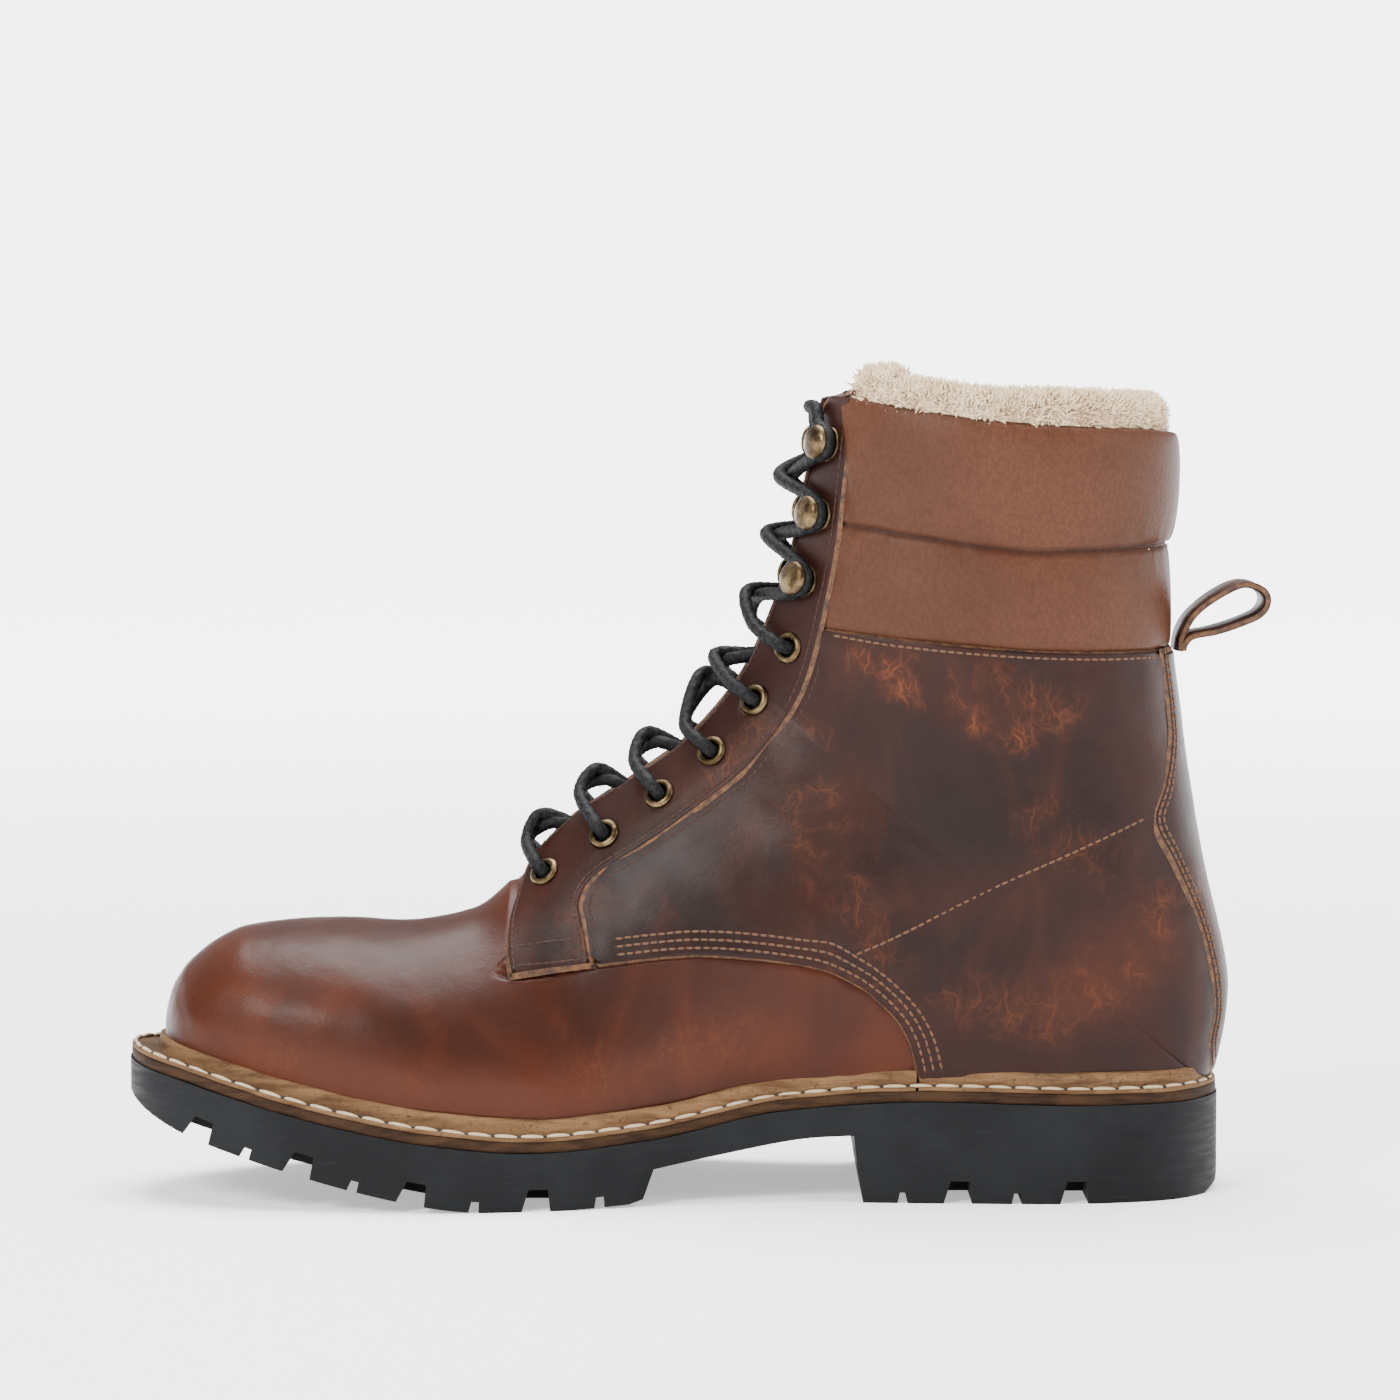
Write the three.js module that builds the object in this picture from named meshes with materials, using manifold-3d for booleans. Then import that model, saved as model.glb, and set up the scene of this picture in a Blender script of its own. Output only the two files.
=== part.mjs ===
// A right-foot lace-up winter boot: leather upper, shearling lining, storm welt and one-piece lug sole.
// Millimetres, +Z up, toe towards -X, inner (medial) side towards -Y, origin on the floor below the middle.

import * as THREE from "three";
import { mergeVertices } from "three/addons/utils/BufferGeometryUtils.js";
import Module from "manifold-3d";

const wasm = await Module();
wasm.setup();

// Wall build-up, as distances from the outer leather face (negative is inwards).
const GAP = 0.3;
const LEATHER = 2.0;
const STIFFENER = 1.2;
const PILE = 5.7;
const BOARD = 2.3;
const FOOTBED = 5.0;
const MARGIN = 14;

// Sole build-up, as heights from the underside of the lasted upper.
const MIDSOLE = 3.3;
const FLANGE = 0.9;
const WELT_WALL = 5.4;
const LUG_DEPTH = 6.3;
const NOTCH_DEPTH = 3.0;
const LUG_REACH = 24;

// Lacing.
const LACE_RADIUS = 1.5;
const UNDER_EYESTAY = -4.5;
const EYELETS = [[-43.6, 90.9], [-26.8, 102.1], [-11.1, 113.5], [4.0, 125.8], [16.2, 140.6], [25.9, 155.7]];
const HOOKS = [[30.7, 174.7], [35.0, 193.5], [37.8, 213.4]];

// Loft stations from the toe tip over the instep and heel to the mouth of the shaft. Each is a flat section:
// front x and z, rear x and z, half width, half width at the sole, shift at the front, shift at the sole,
// where along the section it is widest, and the roundness of its front and of its rear.
const STATIONS = [
  [-152.5, 40.0, -152.5, 40.0, 0.0, 0.0, -7.0, -7.0, 0.70, 2.0, 2.0],
  [-153.0, 48.0, -151.2, 39.8, 9.5, 9.0, -7.0, -7.0, 0.70, 2.0, 2.0],
  [-151.8, 56.0, -147.5, 39.0, 18.0, 17.0, -7.0, -7.0, 0.70, 2.0, 2.0],
  [-147.8, 64.0, -140.0, 37.0, 27.0, 25.8, -6.5, -6.0, 0.72, 2.0, 2.0],
  [-130.0, 75.5, -119.0, 31.3, 37.5, 36.2, -5.0, -3.8, 0.74, 2.0, 2.0],
  [-107.5, 77.6, -97.0, 26.1, 43.8, 42.5, -4.0, -2.0, 0.76, 2.0, 2.0],
  [-86.5, 76.7, -74.0, 22.2, 47.0, 46.0, -3.0, -0.5, 0.80, 1.9, 2.0],
  [-66.0, 79.7, -46.0, 19.8, 47.0, 46.2, -1.5, 2.0, 0.80, 1.8, 2.0],
  [-50.3, 92.0, -14.0, 22.2, 42.0, 41.0, 0.0, 4.0, 0.78, 1.75, 2.0],
  [-35.3, 107.5, 24.0, 29.6, 38.5, 33.5, 0.0, 3.5, 0.70, 1.75, 2.0],
  [-18.2, 119.4, 66.0, 32.2, 38.0, 34.2, 0.0, 2.0, 0.62, 1.8, 2.1],
  [-4.5, 131.0, 108.0, 31.3, 37.0, 32.5, 0.0, 0.8, 0.55, 1.85, 2.3],
  [6.5, 144.0, 137.0, 31.2, 36.5, 20.0, 0.0, 0.3, 0.50, 1.9, 2.5],
  [8.7, 147.2, 143.2, 31.2, 36.5, 11.0, 0.0, 0.0, 0.50, 1.9, 2.5],
  [10.3, 149.5, 145.2, 31.3, 36.5, 0.0, 0.0, 0.0, 0.50, 2.0, 2.5],
  [15.5, 159.0, 150.3, 58.0, 37.0, 0.0, 0.0, 0.0, 0.50, 2.0, 2.4],
  [20.3, 169.3, 142.6, 96.0, 37.5, 0.0, 0.0, 0.0, 0.50, 2.0, 2.3],
  [25.0, 182.0, 136.8, 133.0, 38.0, 0.0, 0.0, 0.0, 0.50, 2.0, 2.3],
  [29.0, 199.0, 133.3, 167.0, 39.5, 0.0, 0.0, 0.0, 0.50, 2.0, 2.3],
  [35.0, 227.5, 133.0, 217.0, 41.0, 0.0, 0.0, 0.0, 0.50, 2.0, 2.3],
];
const HEEL_STATION = 14;
const TOP_STATION = STATIONS.length - 1;
const THROAT_STATION = 7.75;
const CHANNEL_START = 7.2;

// Plan outline of the sole edge, anticlockwise from the toe tip along the inner side and back on the outer.
const SOLE_OUTLINE = [
  [-163.3, -7], [-158.5, -25], [-146, -38], [-125, -47], [-100, -52], [-72, -54], [-40, -49.5], [-5, -39.5],
  [30, -34.5], [70, -36.5], [108, -37], [134, -29], [146, -14], [149, 0], [146, 14], [134, 29.5],
  [108, 38.5], [70, 41], [30, 44], [-5, 50], [-40, 56], [-72, 54.5], [-100, 48.5], [-125, 39],
  [-146, 25.5], [-158.5, 11],
];

// Side-view lines of the upper, from its front or lower end upwards.
const VAMP_EDGE = [
  [-54, 63], [-29, 66.4], [0, 69.4], [28.2, 67.1], [42.2, 62.3], [52.1, 54.7], [58, 46.5], [61.5, 34],
];
const EYESTAY_REAR = [
  [-29.2, 65.6], [-31.5, 77], [-32.6, 84], [-28.3, 90.7], [-14.1, 99.7], [0, 109.7], [14.1, 121],
  [25.4, 135.2], [32.4, 150.1], [38.9, 178.9], [42.2, 204.3], [44.6, 229],
];
const COLLAR_BOTTOM = [[33, 162.2], [56, 159.6], [84, 157.1], [107, 156], [145, 156]];
const COLLAR_SEAM = [[30, 193.2], [56, 188.8], [84, 184.8], [101, 184], [145, 186.5]];
const COLLAR_TOP = [[30, 228], [45.4, 226.4], [56, 224], [70, 221.7], [84, 220], [101, 218.9], [145, 217]];
const BACKSTAY_EDGE = [
  [147, 30], [144, 44], [145.3, 52.2], [143.8, 63.8], [140.2, 78.2], [133, 94], [126.8, 107],
  [130, 118.3], [132.2, 129.8], [131.3, 141.2], [128.4, 158],
];

// ---------------------------------------------------------------- curves

// The slope through a knot between two chords: none at a peak, and never enough to overshoot.
function gentleSlope(before, after) {
  return before * after <= 0 ? 0 : (2 * before * after) / (before + after);
}

// A smooth curve from b to c that never leaves their range, with neighbours a and d.
function blend(a, b, c, d, t) {
  const rise = c - b;
  const start = gentleSlope(b - a, rise);
  const end = gentleSlope(rise, d - c);
  return b + t * (start + t * (3 * rise - 2 * start - end + t * (start + end - 2 * rise)));
}

function mix(a, b, t) {
  return a + (b - a) * t;
}

function ramp(from, to, value) {
  const t = Math.min(1, Math.max(0, (value - from) / (to - from)));
  return t * t * (3 - 2 * t);
}

// One column of the station table at a fractional station, running straight on past the last one.
function column(u, c) {
  if (u > TOP_STATION) {
    const slope = column(TOP_STATION, c) - column(TOP_STATION - 0.25, c);
    return column(TOP_STATION, c) + slope * (u - TOP_STATION) * 4;
  }
  const i = Math.min(TOP_STATION - 1, Math.max(0, Math.floor(u)));
  const row = (k) => STATIONS[Math.min(TOP_STATION, Math.max(0, k))][c];
  return blend(row(i - 1), row(i), row(i + 1), row(i + 2), u - i);
}

// A piecewise line through side-view points, as height against x.
function heightAt(points, x) {
  let i = 1;
  while (i < points.length - 1 && points[i][0] < x) {
    i += 1;
  }
  const [a, b] = [points[i - 1], points[i]];
  return mix(a[1], b[1], (x - a[0]) / (b[0] - a[0]));
}

function smoothLine(points, count) {
  const knots = points.map(([x, z]) => new THREE.Vector3(x, z, 0));
  const curve = new THREE.CatmullRomCurve3(knots, false, "centripetal");
  return curve.getPoints(count).map((p) => [p.x, p.y]);
}

// ---------------------------------------------------------------- the lasted surface

// A point of the outer face at station u. Angle v runs from 0 at the front ridge to 1 at the sole or the
// back; side is -1 for the inner side of the foot and 1 for the outer.
function facePoint(u, v, side) {
  const power = column(u, 9);
  const rearPower = column(u, 10);
  const width = Math.max(0, column(u, 4));
  const foot = Math.min(1, Math.max(0, column(u, 5)) / Math.max(width, 1e-6));
  const widest = column(u, 8);
  let along;
  let out;
  if (v <= 0.5) {
    const angle = v * Math.PI;
    along = widest * (1 - Math.cos(angle) ** (2 / power));
    out = Math.sin(angle) ** (2 / power);
  } else {
    const reach = (1 - foot ** rearPower) ** (1 / rearPower);
    const last = Math.asin(Math.min(1, reach ** (rearPower / 2)));
    const angle = last * (2 * v - 1);
    const share = reach > 1e-6 ? Math.sin(angle) ** (2 / rearPower) / reach : 2 * v - 1;
    along = widest + (1 - widest) * share;
    out = Math.cos(angle) ** (2 / rearPower);
  }
  const shift = mix(column(u, 6), column(u, 7), along);
  return new THREE.Vector3(
    mix(column(u, 0), column(u, 2), along),
    shift + side * width * out,
    mix(column(u, 1), column(u, 3), along),
  );
}

function signedPoint(u, w) {
  return facePoint(u, Math.min(1, Math.abs(w)), w < 0 ? -1 : 1);
}

const TOE_NORMAL = new THREE.Vector3(-1, 0, 0);

// The outward direction at station u and signed angle w, from -1 on the inner side to 1 on the outer.
function faceNormal(u, w) {
  const step = 0.02;
  const inside = Math.max(-1 + step, Math.min(1 - step, w));
  const low = Math.max(0.02, u - step);
  const du = signedPoint(low + 2 * step, inside).sub(signedPoint(low, inside));
  const level = Math.max(u, 0.05);
  const dw = signedPoint(level, inside + step).sub(signedPoint(level, inside - step));
  const normal = du.cross(dw).normalize();
  if (Math.abs(w) === 1 && u >= HEEL_STATION) {
    normal.setY(0);
  }
  return normal.lerp(TOE_NORMAL, 1 - ramp(0, 0.6, u)).normalize();
}

// The station and angle whose section passes through side-view point (x, z).
function locate(x, z) {
  const miss = (u) => {
    const [fx, fz, bx, bz] = [0, 1, 2, 3].map((c) => column(u, c));
    return (bx - fx) * (z - fz) - (bz - fz) * (x - fx);
  };
  let low = 0.5;
  let high = TOP_STATION + 1;
  for (let i = 0; i < 50; i += 1) {
    const middle = (low + high) / 2;
    if (miss(middle) > 0) {
      low = middle;
    } else {
      high = middle;
    }
  }
  const u = (low + high) / 2;
  const chord = Math.hypot(column(u, 2) - column(u, 0), column(u, 3) - column(u, 1));
  const along = Math.hypot(x - column(u, 0), z - column(u, 1)) / chord;
  const inward = Math.min(1, Math.max(0, 1 - along / column(u, 8)));
  return { u, v: Math.acos(inward ** (column(u, 9) / 2)) / Math.PI };
}

// The angle at which the front half of section u is `across` wide of the middle.
function angleAcross(u, across) {
  const share = Math.min(1, Math.abs(across) / column(u, 4));
  return Math.sign(across) * Math.asin(share ** (column(u, 9) / 2)) / Math.PI;
}

function lifted(u, w, height) {
  return signedPoint(u, w).addScaledVector(faceNormal(u, w), height);
}

// ---------------------------------------------------------------- solids

function toSolid(geometry) {
  const bare = geometry.index ? geometry.toNonIndexed() : geometry.clone();
  bare.deleteAttribute("normal");
  bare.deleteAttribute("uv");
  const merged = mergeVertices(bare, 1e-4);
  const position = merged.attributes.position;
  const kept = [];
  let volume = 0;
  const corner = (i) => new THREE.Vector3().fromBufferAttribute(position, i);
  for (let i = 0; i < merged.index.count; i += 3) {
    const [a, b, c] = [0, 1, 2].map((k) => merged.index.getX(i + k));
    if (a !== b && b !== c && c !== a) {
      kept.push(a, b, c);
      volume += corner(a).dot(corner(b).cross(corner(c)));
    }
  }
  if (volume < 0) {
    kept.reverse();
  }
  const mesh = new wasm.Mesh({
    numProp: 3,
    vertProperties: new Float32Array(position.array),
    triVerts: new Uint32Array(kept),
  });
  return new wasm.Manifold(mesh);
}

function toGeometry(solid) {
  const mesh = solid.getMesh();
  const geometry = new THREE.BufferGeometry();
  geometry.setAttribute("position", new THREE.BufferAttribute(new Float32Array(mesh.vertProperties), 3));
  geometry.setIndex(new THREE.BufferAttribute(new Uint32Array(mesh.triVerts), 1));
  geometry.computeVertexNormals();
  return geometry;
}

// A closed solid through rings of points, with the first and last ring capped.
function skin(rings) {
  const size = rings[0].length;
  const corners = [];
  const add = (...points) => points.forEach((p) => corners.push(p.x, p.y, p.z));
  for (let i = 1; i < rings.length; i += 1) {
    for (let j = 0; j < size; j += 1) {
      const k = (j + 1) % size;
      add(rings[i - 1][j], rings[i - 1][k], rings[i][j]);
      add(rings[i][j], rings[i - 1][k], rings[i][k]);
    }
  }
  const cap = (ring, flip) => {
    for (let j = 1; j < size - 1; j += 1) {
      add(ring[0], ring[flip ? j + 1 : j], ring[flip ? j : j + 1]);
    }
  };
  cap(rings[0], true);
  cap(rings[rings.length - 1], false);
  const geometry = new THREE.BufferGeometry();
  geometry.setAttribute("position", new THREE.BufferAttribute(new Float32Array(corners), 3));
  return toSolid(geometry);
}

function prismAlongY(points, from, to) {
  const shape = new THREE.Shape(points.map(([x, z]) => new THREE.Vector2(x, z)));
  const geometry = new THREE.ExtrudeGeometry(shape, { depth: to - from, bevelEnabled: false });
  geometry.rotateX(Math.PI / 2);
  geometry.translate(0, to, 0);
  return toSolid(geometry);
}

function prismAlongZ(points, from, to) {
  const shape = new THREE.Shape(points.map(([x, y]) => new THREE.Vector2(x, y)));
  const geometry = new THREE.ExtrudeGeometry(shape, { depth: to - from, bevelEnabled: false });
  geometry.translate(0, 0, from);
  return toSolid(geometry);
}

function box(low, high) {
  const size = high.map((value, i) => value - low[i]);
  const geometry = new THREE.BoxGeometry(...size);
  geometry.translate(...low.map((value, i) => value + size[i] / 2));
  return toSolid(geometry);
}

function largest(solid) {
  const pieces = solid.decompose();
  return pieces.reduce((best, piece) => (piece.volume() > best.volume() ? piece : best));
}

const COLUMNS = [-1, -0.82, -0.65, -0.5, -0.37, -0.25, -0.12, 0];
const RING = [...COLUMNS, ...COLUMNS.slice(0, -1).reverse().map((w) => -w)];
const ROWS = [
  0, 0.6, 1.3, 2.2, 3, 3.6, 4.4, 5.2, 6, 7, 7.8, 8.6, 9.4, 10.2, 11, 11.8, 12.6, 13.3, 14, 14.7, 15.4, 16,
  17, 18, 19, 19.5,
];

// The lasted volume grown by depth(point), a distance along the outward direction.
function volume(depth, rows = ROWS) {
  return skin(rows.map((u) => RING.map((w) => {
    const point = signedPoint(u, w);
    return point.clone().addScaledVector(faceNormal(u, w), depth(point));
  })));
}

const FAR = 400;

// Underside of the lasted upper, as side-view points from ahead of the toe to behind the heel.
const LAST_BOTTOM = [
  [-175, 45],
  ...ROWS.filter((u) => u <= HEEL_STATION).map((u) => [column(u, 2), column(u, 3)]),
  [175, 31.2],
];

// The region above a side-view line that is raised by lift.
function above(line, lift) {
  const first = [-FAR, line[0][1] + lift];
  const last = [FAR, line[line.length - 1][1] + lift];
  const raised = line.map(([x, z]) => [x, z + lift]);
  return prismAlongY([first, ...raised, last, [FAR, FAR], [-FAR, FAR]], -FAR, FAR);
}

function band(low, high) {
  return above(LAST_BOTTOM, low).subtract(above(LAST_BOTTOM, high));
}

// Side-view fences. Each one is the region in front of, or behind, a seam of the upper.
function frontOfVampEdge(shift) {
  const line = smoothLine(VAMP_EDGE, 14).map(([x, z]) => [x, z + shift]);
  const corner = -54 + shift;
  const ahead = [[61.5 + shift, 0], [-200, 0], [-200, 120], [corner, 120], [corner, 63]];
  return prismAlongY([...line, ...ahead], -FAR, FAR);
}

function behindEyestay(shift) {
  const line = smoothLine(EYESTAY_REAR, 20).map(([x, z]) => [x + shift * 0.8, z - shift * 0.6]);
  const top = [line[line.length - 1][0], FAR];
  return prismAlongY([[line[0][0], -10], [FAR, -10], [FAR, FAR], top, ...line.reverse()], -FAR, FAR);
}

function behindBackstay(shift) {
  const line = smoothLine(BACKSTAY_EDGE, 16).map(([x, z]) => [x + shift, z]);
  return prismAlongY([[147 + shift, -10], [FAR, -10], [FAR, 158], ...line.reverse()], -FAR, FAR);
}

// Half the gap between the eyestays, which opens upwards.
function throatHalfWidth(u) {
  return mix(0.15, 8.5, ramp(THROAT_STATION - 1.2, THROAT_STATION + 5, u));
}

// A channel along the front ridge, halfAt(u) wide to each side and `inward` deep.
function channel(halfAt, inward) {
  const rings = [];
  for (let u = CHANNEL_START; u <= TOP_STATION + 1.6; u += 0.8) {
    const half = halfAt(u);
    rings.push([[-8, -half], [-8, half], [inward, half], [inward, -half]].map(([depth, y]) => {
      const [x, z] = inwardPoint(u, depth);
      return new THREE.Vector3(x, y, z);
    }));
  }
  return skin(rings);
}

// The side-view point that lies `depth` behind the front ridge, along section u.
function inwardPoint(u, depth) {
  const [fx, fz, bx, bz] = [0, 1, 2, 3].map((c) => column(u, c));
  const length = Math.hypot(bx - fx, bz - fz);
  return [fx + (bx - fx) * depth / length, fz + (bz - fz) * depth / length];
}

const throat = () => channel(throatHalfWidth, 14);

// ---------------------------------------------------------------- the sole

// A closed smooth plan outline through the points, moved inwards by inset.
function outline(corners, inset, count = 40) {
  const knots = corners.map(([x, y]) => new THREE.Vector3(x, y, 0));
  const curve = new THREE.CatmullRomCurve3(knots, true, "centripetal");
  const points = [];
  for (let i = 0; i < count; i += 1) {
    const point = curve.getPointAt(i / count);
    const tangent = curve.getTangentAt(i / count);
    points.push([point.x - tangent.y * inset, point.y + tangent.x * inset]);
  }
  return points;
}

function soleColumn(inset) {
  return prismAlongZ(outline(SOLE_OUTLINE, inset), -10, 90);
}

// The edge of the lasted upper in plan: up the inner side from the toe and back down the outer side.
const LAST_OUTLINE = [
  facePoint(0, 1, -1),
  ...[1, 2, 3, 4, 5, 6, 7, 8, 9, 10, 11, 12, 13].map((u) => facePoint(u, 1, -1)),
  facePoint(HEEL_STATION, 1, -1),
  ...[13, 12, 11, 10, 9, 8, 7, 6, 5, 4, 3, 2, 1].map((u) => facePoint(u, 1, 1)),
].map((p) => [p.x, p.y]);

function lastColumn(inset) {
  return prismAlongZ(outline(LAST_OUTLINE, inset), -10, 60);
}

const TREAD = [
  [149.6, 30], [149.6, 7], [148, 2.5], [144, 0], [46, 0], [44.5, 9], [43.5, 19], [28, 18], [8, 14.5],
  [-13, 10.5], [-16, 2.2], [-28, 0.3], [-38, 0], [-60, 0], [-76, 1.6], [-98, 6.2], [-116, 11], [-129, 14.8],
  [-145, 20], [-157, 25.5], [-163.6, 30], [-164, 44],
];
const GROOVES = [-141.5, -112.5, -80.5, -45.5, 73, 105.8];
const NOTCHES = [-127.5, -97, -63, -28, 57.3, 89.4];
const GROOVE_WIDTH = 7.5;
const NOTCH_WIDTH = 2.4;

function treadHeight(x) {
  const lower = TREAD.slice(2, -1).reverse();
  return heightAt(lower, x);
}

function sideCut(x, width, depth, side) {
  const reach = side * 80;
  const edge = side * (outlineHalf(x, side) - LUG_REACH);
  const geometry = new THREE.BoxGeometry(width, Math.abs(reach - edge), depth + 8);
  const slope = Math.atan2(treadHeight(x + 5) - treadHeight(x - 5), 10);
  geometry.translate(0, 0, depth / 2 - 4);
  geometry.rotateY(-slope);
  geometry.translate(x, (reach + edge) / 2, treadHeight(x));
  return toSolid(geometry);
}

function outlineHalf(x, side) {
  const points = outline(SOLE_OUTLINE, 0).filter(([, y]) => y * side > 0);
  const nearest = points.reduce((best, p) => (Math.abs(p[0] - x) < Math.abs(best[0] - x) ? p : best));
  return Math.abs(nearest[1]);
}

function makeOutsole() {
  const rubberTop = above(LAST_BOTTOM, -GAP - MIDSOLE - GAP);
  let solid = soleColumn(0).intersect(prismAlongY(TREAD, -FAR, FAR)).subtract(rubberTop);
  for (const side of [-1, 1]) {
    for (const x of GROOVES) {
      solid = solid.subtract(sideCut(x, GROOVE_WIDTH, LUG_DEPTH, side));
    }
    for (const x of NOTCHES) {
      solid = solid.subtract(sideCut(x, NOTCH_WIDTH, NOTCH_DEPTH, side));
    }
  }
  return solid;
}

function makeMidsole() {
  return soleColumn(0.6).intersect(band(-GAP - MIDSOLE, -GAP));
}

const WELT_JOIN = 61.5;
const WALL_OUTSIDE = 2.4;

function makeWelt() {
  const upper = volume(() => 2 * GAP);
  const flange = soleColumn(0.9).intersect(band(0, FLANGE));
  const wall = lastColumn(-WALL_OUTSIDE).intersect(band(0, WELT_WALL));
  return flange.add(wall).subtract(upper).subtract(lastColumn(-3 * GAP));
}

function makeWeltThread() {
  const top = FLANGE + GAP;
  return soleColumn(1.6).subtract(soleColumn(2.6)).intersect(band(top, top + 0.8))
    .subtract(lastColumn(-WALL_OUTSIDE - GAP));
}

// ---------------------------------------------------------------- the upper

function makeUpper() {
  const outer = volume(() => 0);
  const inner = volume(() => -LEATHER, [...ROWS, 20.2]).intersect(above(LAST_BOTTOM, LEATHER));
  const opening = lastColumn(MARGIN);
  return outer.subtract(inner).subtract(opening);
}

function half(side) {
  const [low, high] = side < 0 ? [-FAR, -GAP / 2] : [GAP / 2, FAR];
  return box([-FAR, low, -FAR], [FAR, high, FAR]);
}

const vampArea = frontOfVampEdge(0);
const vampClearance = frontOfVampEdge(GAP);
const collarArea = above(COLLAR_BOTTOM, 0);

function makeVamp(upper) {
  return upper.intersect(vampArea).subtract(throat());
}

function makeEyestays(upper) {
  const strip = upper.subtract(vampClearance).subtract(behindEyestay(-GAP)).subtract(throat())
    .subtract(above(COLLAR_TOP, 0));
  return [-1, 1].map((side) => {
    let panel = strip.intersect(half(side));
    for (const [x, z] of [...EYELETS, ...HOOKS]) {
      const radius = EYELETS.some(([ex]) => ex === x) ? EYELET_HOLE : SHANK_HOLE;
      panel = panel.subtract(stud([[0, -6], [radius, -6], [radius, 6], [0, 6]], x, z, side));
    }
    return panel;
  });
}

function makeQuarters(upper) {
  const rear = upper.subtract(vampClearance).intersect(behindEyestay(GAP)).subtract(collarArea)
    .subtract(behindBackstay(-GAP));
  return [-1, 1].map((side) => rear.intersect(half(side)));
}

function makeBackstay(upper) {
  return upper.intersect(behindBackstay(0)).subtract(above(COLLAR_BOTTOM, -GAP));
}

// ---------------------------------------------------------------- collar, lining and stiffeners

// How far the padded collar stands proud: two rolls with a pinched seam between them.
function collarPuff(point) {
  const seam = heightAt(COLLAR_SEAM, point.x);
  const bottom = heightAt(COLLAR_BOTTOM, point.x);
  const top = heightAt(COLLAR_TOP, point.x);
  const upperRoll = point.z > seam;
  const share = upperRoll ? (point.z - seam) / (top - seam) : (point.z - bottom) / (seam - bottom);
  const bulge = Math.sqrt(Math.max(0, 1 - (2 * share - 1) ** 2));
  const backwards = ramp(45, 130, point.x);
  return 0.3 + bulge * (upperRoll ? mix(2.2, 4.4, backwards) : 1.6);
}

const COLLAR_SKIN = 1.2;
const COLLAR_ROWS = [14.7, 15.6, 16.4, 16.8, 17.2, 17.6, 17.9, 18.2, 18.6, 19.0, 19.5, 20.2];

function collarZone() {
  return collarArea.intersect(behindEyestay(GAP)).subtract(above(COLLAR_TOP, 0))
    .subtract(box([-FAR, -FAR, -FAR], [30, FAR, FAR]));
}

function makeCollar(zone) {
  const outer = volume(collarPuff, COLLAR_ROWS);
  const pads = volume((p) => collarPuff(p) - COLLAR_SKIN, COLLAR_ROWS);
  const seamBand = above(COLLAR_SEAM, -1.2).subtract(above(COLLAR_SEAM, 1.2));
  const edges = above(COLLAR_TOP, -2.2).add(seamBand)
    .add(box([-FAR, -FAR, -FAR], [FAR, FAR, FAR]).subtract(above(COLLAR_BOTTOM, 2.2)));
  const backing = volume(() => -LEATHER, COLLAR_ROWS);
  const core = volume(() => -0.8, COLLAR_ROWS);
  const skinPart = outer.subtract(pads).add(outer.subtract(core).intersect(edges)).intersect(zone);
  const foam = volume((p) => collarPuff(p) - COLLAR_SKIN - GAP, COLLAR_ROWS).subtract(backing)
    .intersect(zone).subtract(edges.add(above(COLLAR_TOP, -2.2 - GAP)))
    .intersect(behindEyestay(3));
  return { cover: skinPart, foam };
}

const LINING_FACE = LEATHER + GAP + STIFFENER + GAP;
const LINING_INSIDE = LINING_FACE + PILE;
const BOARD_LEVEL = LEATHER + GAP;
const FOOTBED_LEVEL = BOARD_LEVEL + BOARD + GAP;
const LINING_RISE = 7;

function makeLining() {
  const outer = volume(() => -LINING_FACE, [...ROWS.slice(0, -1), 19.5, 20.2]);
  const inner = volume(() => -LINING_INSIDE, [...ROWS, 20.2, 21]);
  const tube = outer.subtract(inner).intersect(above(LAST_BOTTOM, FOOTBED_LEVEL))
    .subtract(above(COLLAR_TOP, LINING_RISE));
  const split = prismAlongY([[-49, -10], [FAR, -10], [FAR, FAR], [-49, FAR]], -FAR, FAR);
  const throatZone = channel((u) => mix(19, 29, ramp(8, 12, u)), 46);
  return {
    toe: tube.subtract(split),
    shaft: tube.intersect(split).subtract(throatZone).subtract(box([-50, -FAR, -FAR], [-48.7, FAR, FAR])),
  };
}

function makeToePuff() {
  return stiffener().subtract(box([-114, -FAR, -FAR], [FAR, FAR, FAR]));
}

function makeHeelCounter() {
  const rear = prismAlongY([[78, 43], [FAR, 43], [FAR, 96], [118, 96], [100, 84]], -FAR, FAR);
  return stiffener().intersect(rear);
}

function stiffener() {
  const outer = volume(() => -LEATHER - 1.5 * GAP);
  const inner = volume(() => -LEATHER - STIFFENER, [...ROWS, 20.2]);
  return outer.subtract(inner).intersect(above(LAST_BOTTOM, FOOTBED_LEVEL));
}

function makeInsoleBoard() {
  return volume(() => -LEATHER - 2 * GAP).intersect(band(BOARD_LEVEL, BOARD_LEVEL + BOARD))
    .intersect(lastColumn(LEATHER + 2));
}

function makeFootbed() {
  return volume(() => -LINING_INSIDE - 2 * GAP).intersect(band(FOOTBED_LEVEL, FOOTBED_LEVEL + FOOTBED))
    .intersect(lastColumn(LINING_INSIDE + 2.5));
}

const SHANK = { from: -18, to: 84, half: 7, thick: 1.2 };

function shankSlot(extra) {
  return box([SHANK.from - extra, -SHANK.half - extra, -10], [SHANK.to + extra, SHANK.half + extra, 90]);
}

function makeCork() {
  return lastColumn(MARGIN + GAP).intersect(band(0, LEATHER)).subtract(shankSlot(GAP));
}

function makeShank() {
  return shankSlot(0).intersect(band(0.3, 0.3 + SHANK.thick));
}

// ---------------------------------------------------------------- tongue

const TONGUE_TOP = 231;
const TONGUE_BASE_STATION = 7.9;

// The tongue leans away from the eyestays towards the top.
function tongueDepth(extra) {
  return (point) => -6.6 - extra - 13 * ramp(150, 240, point.z);
}

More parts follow.
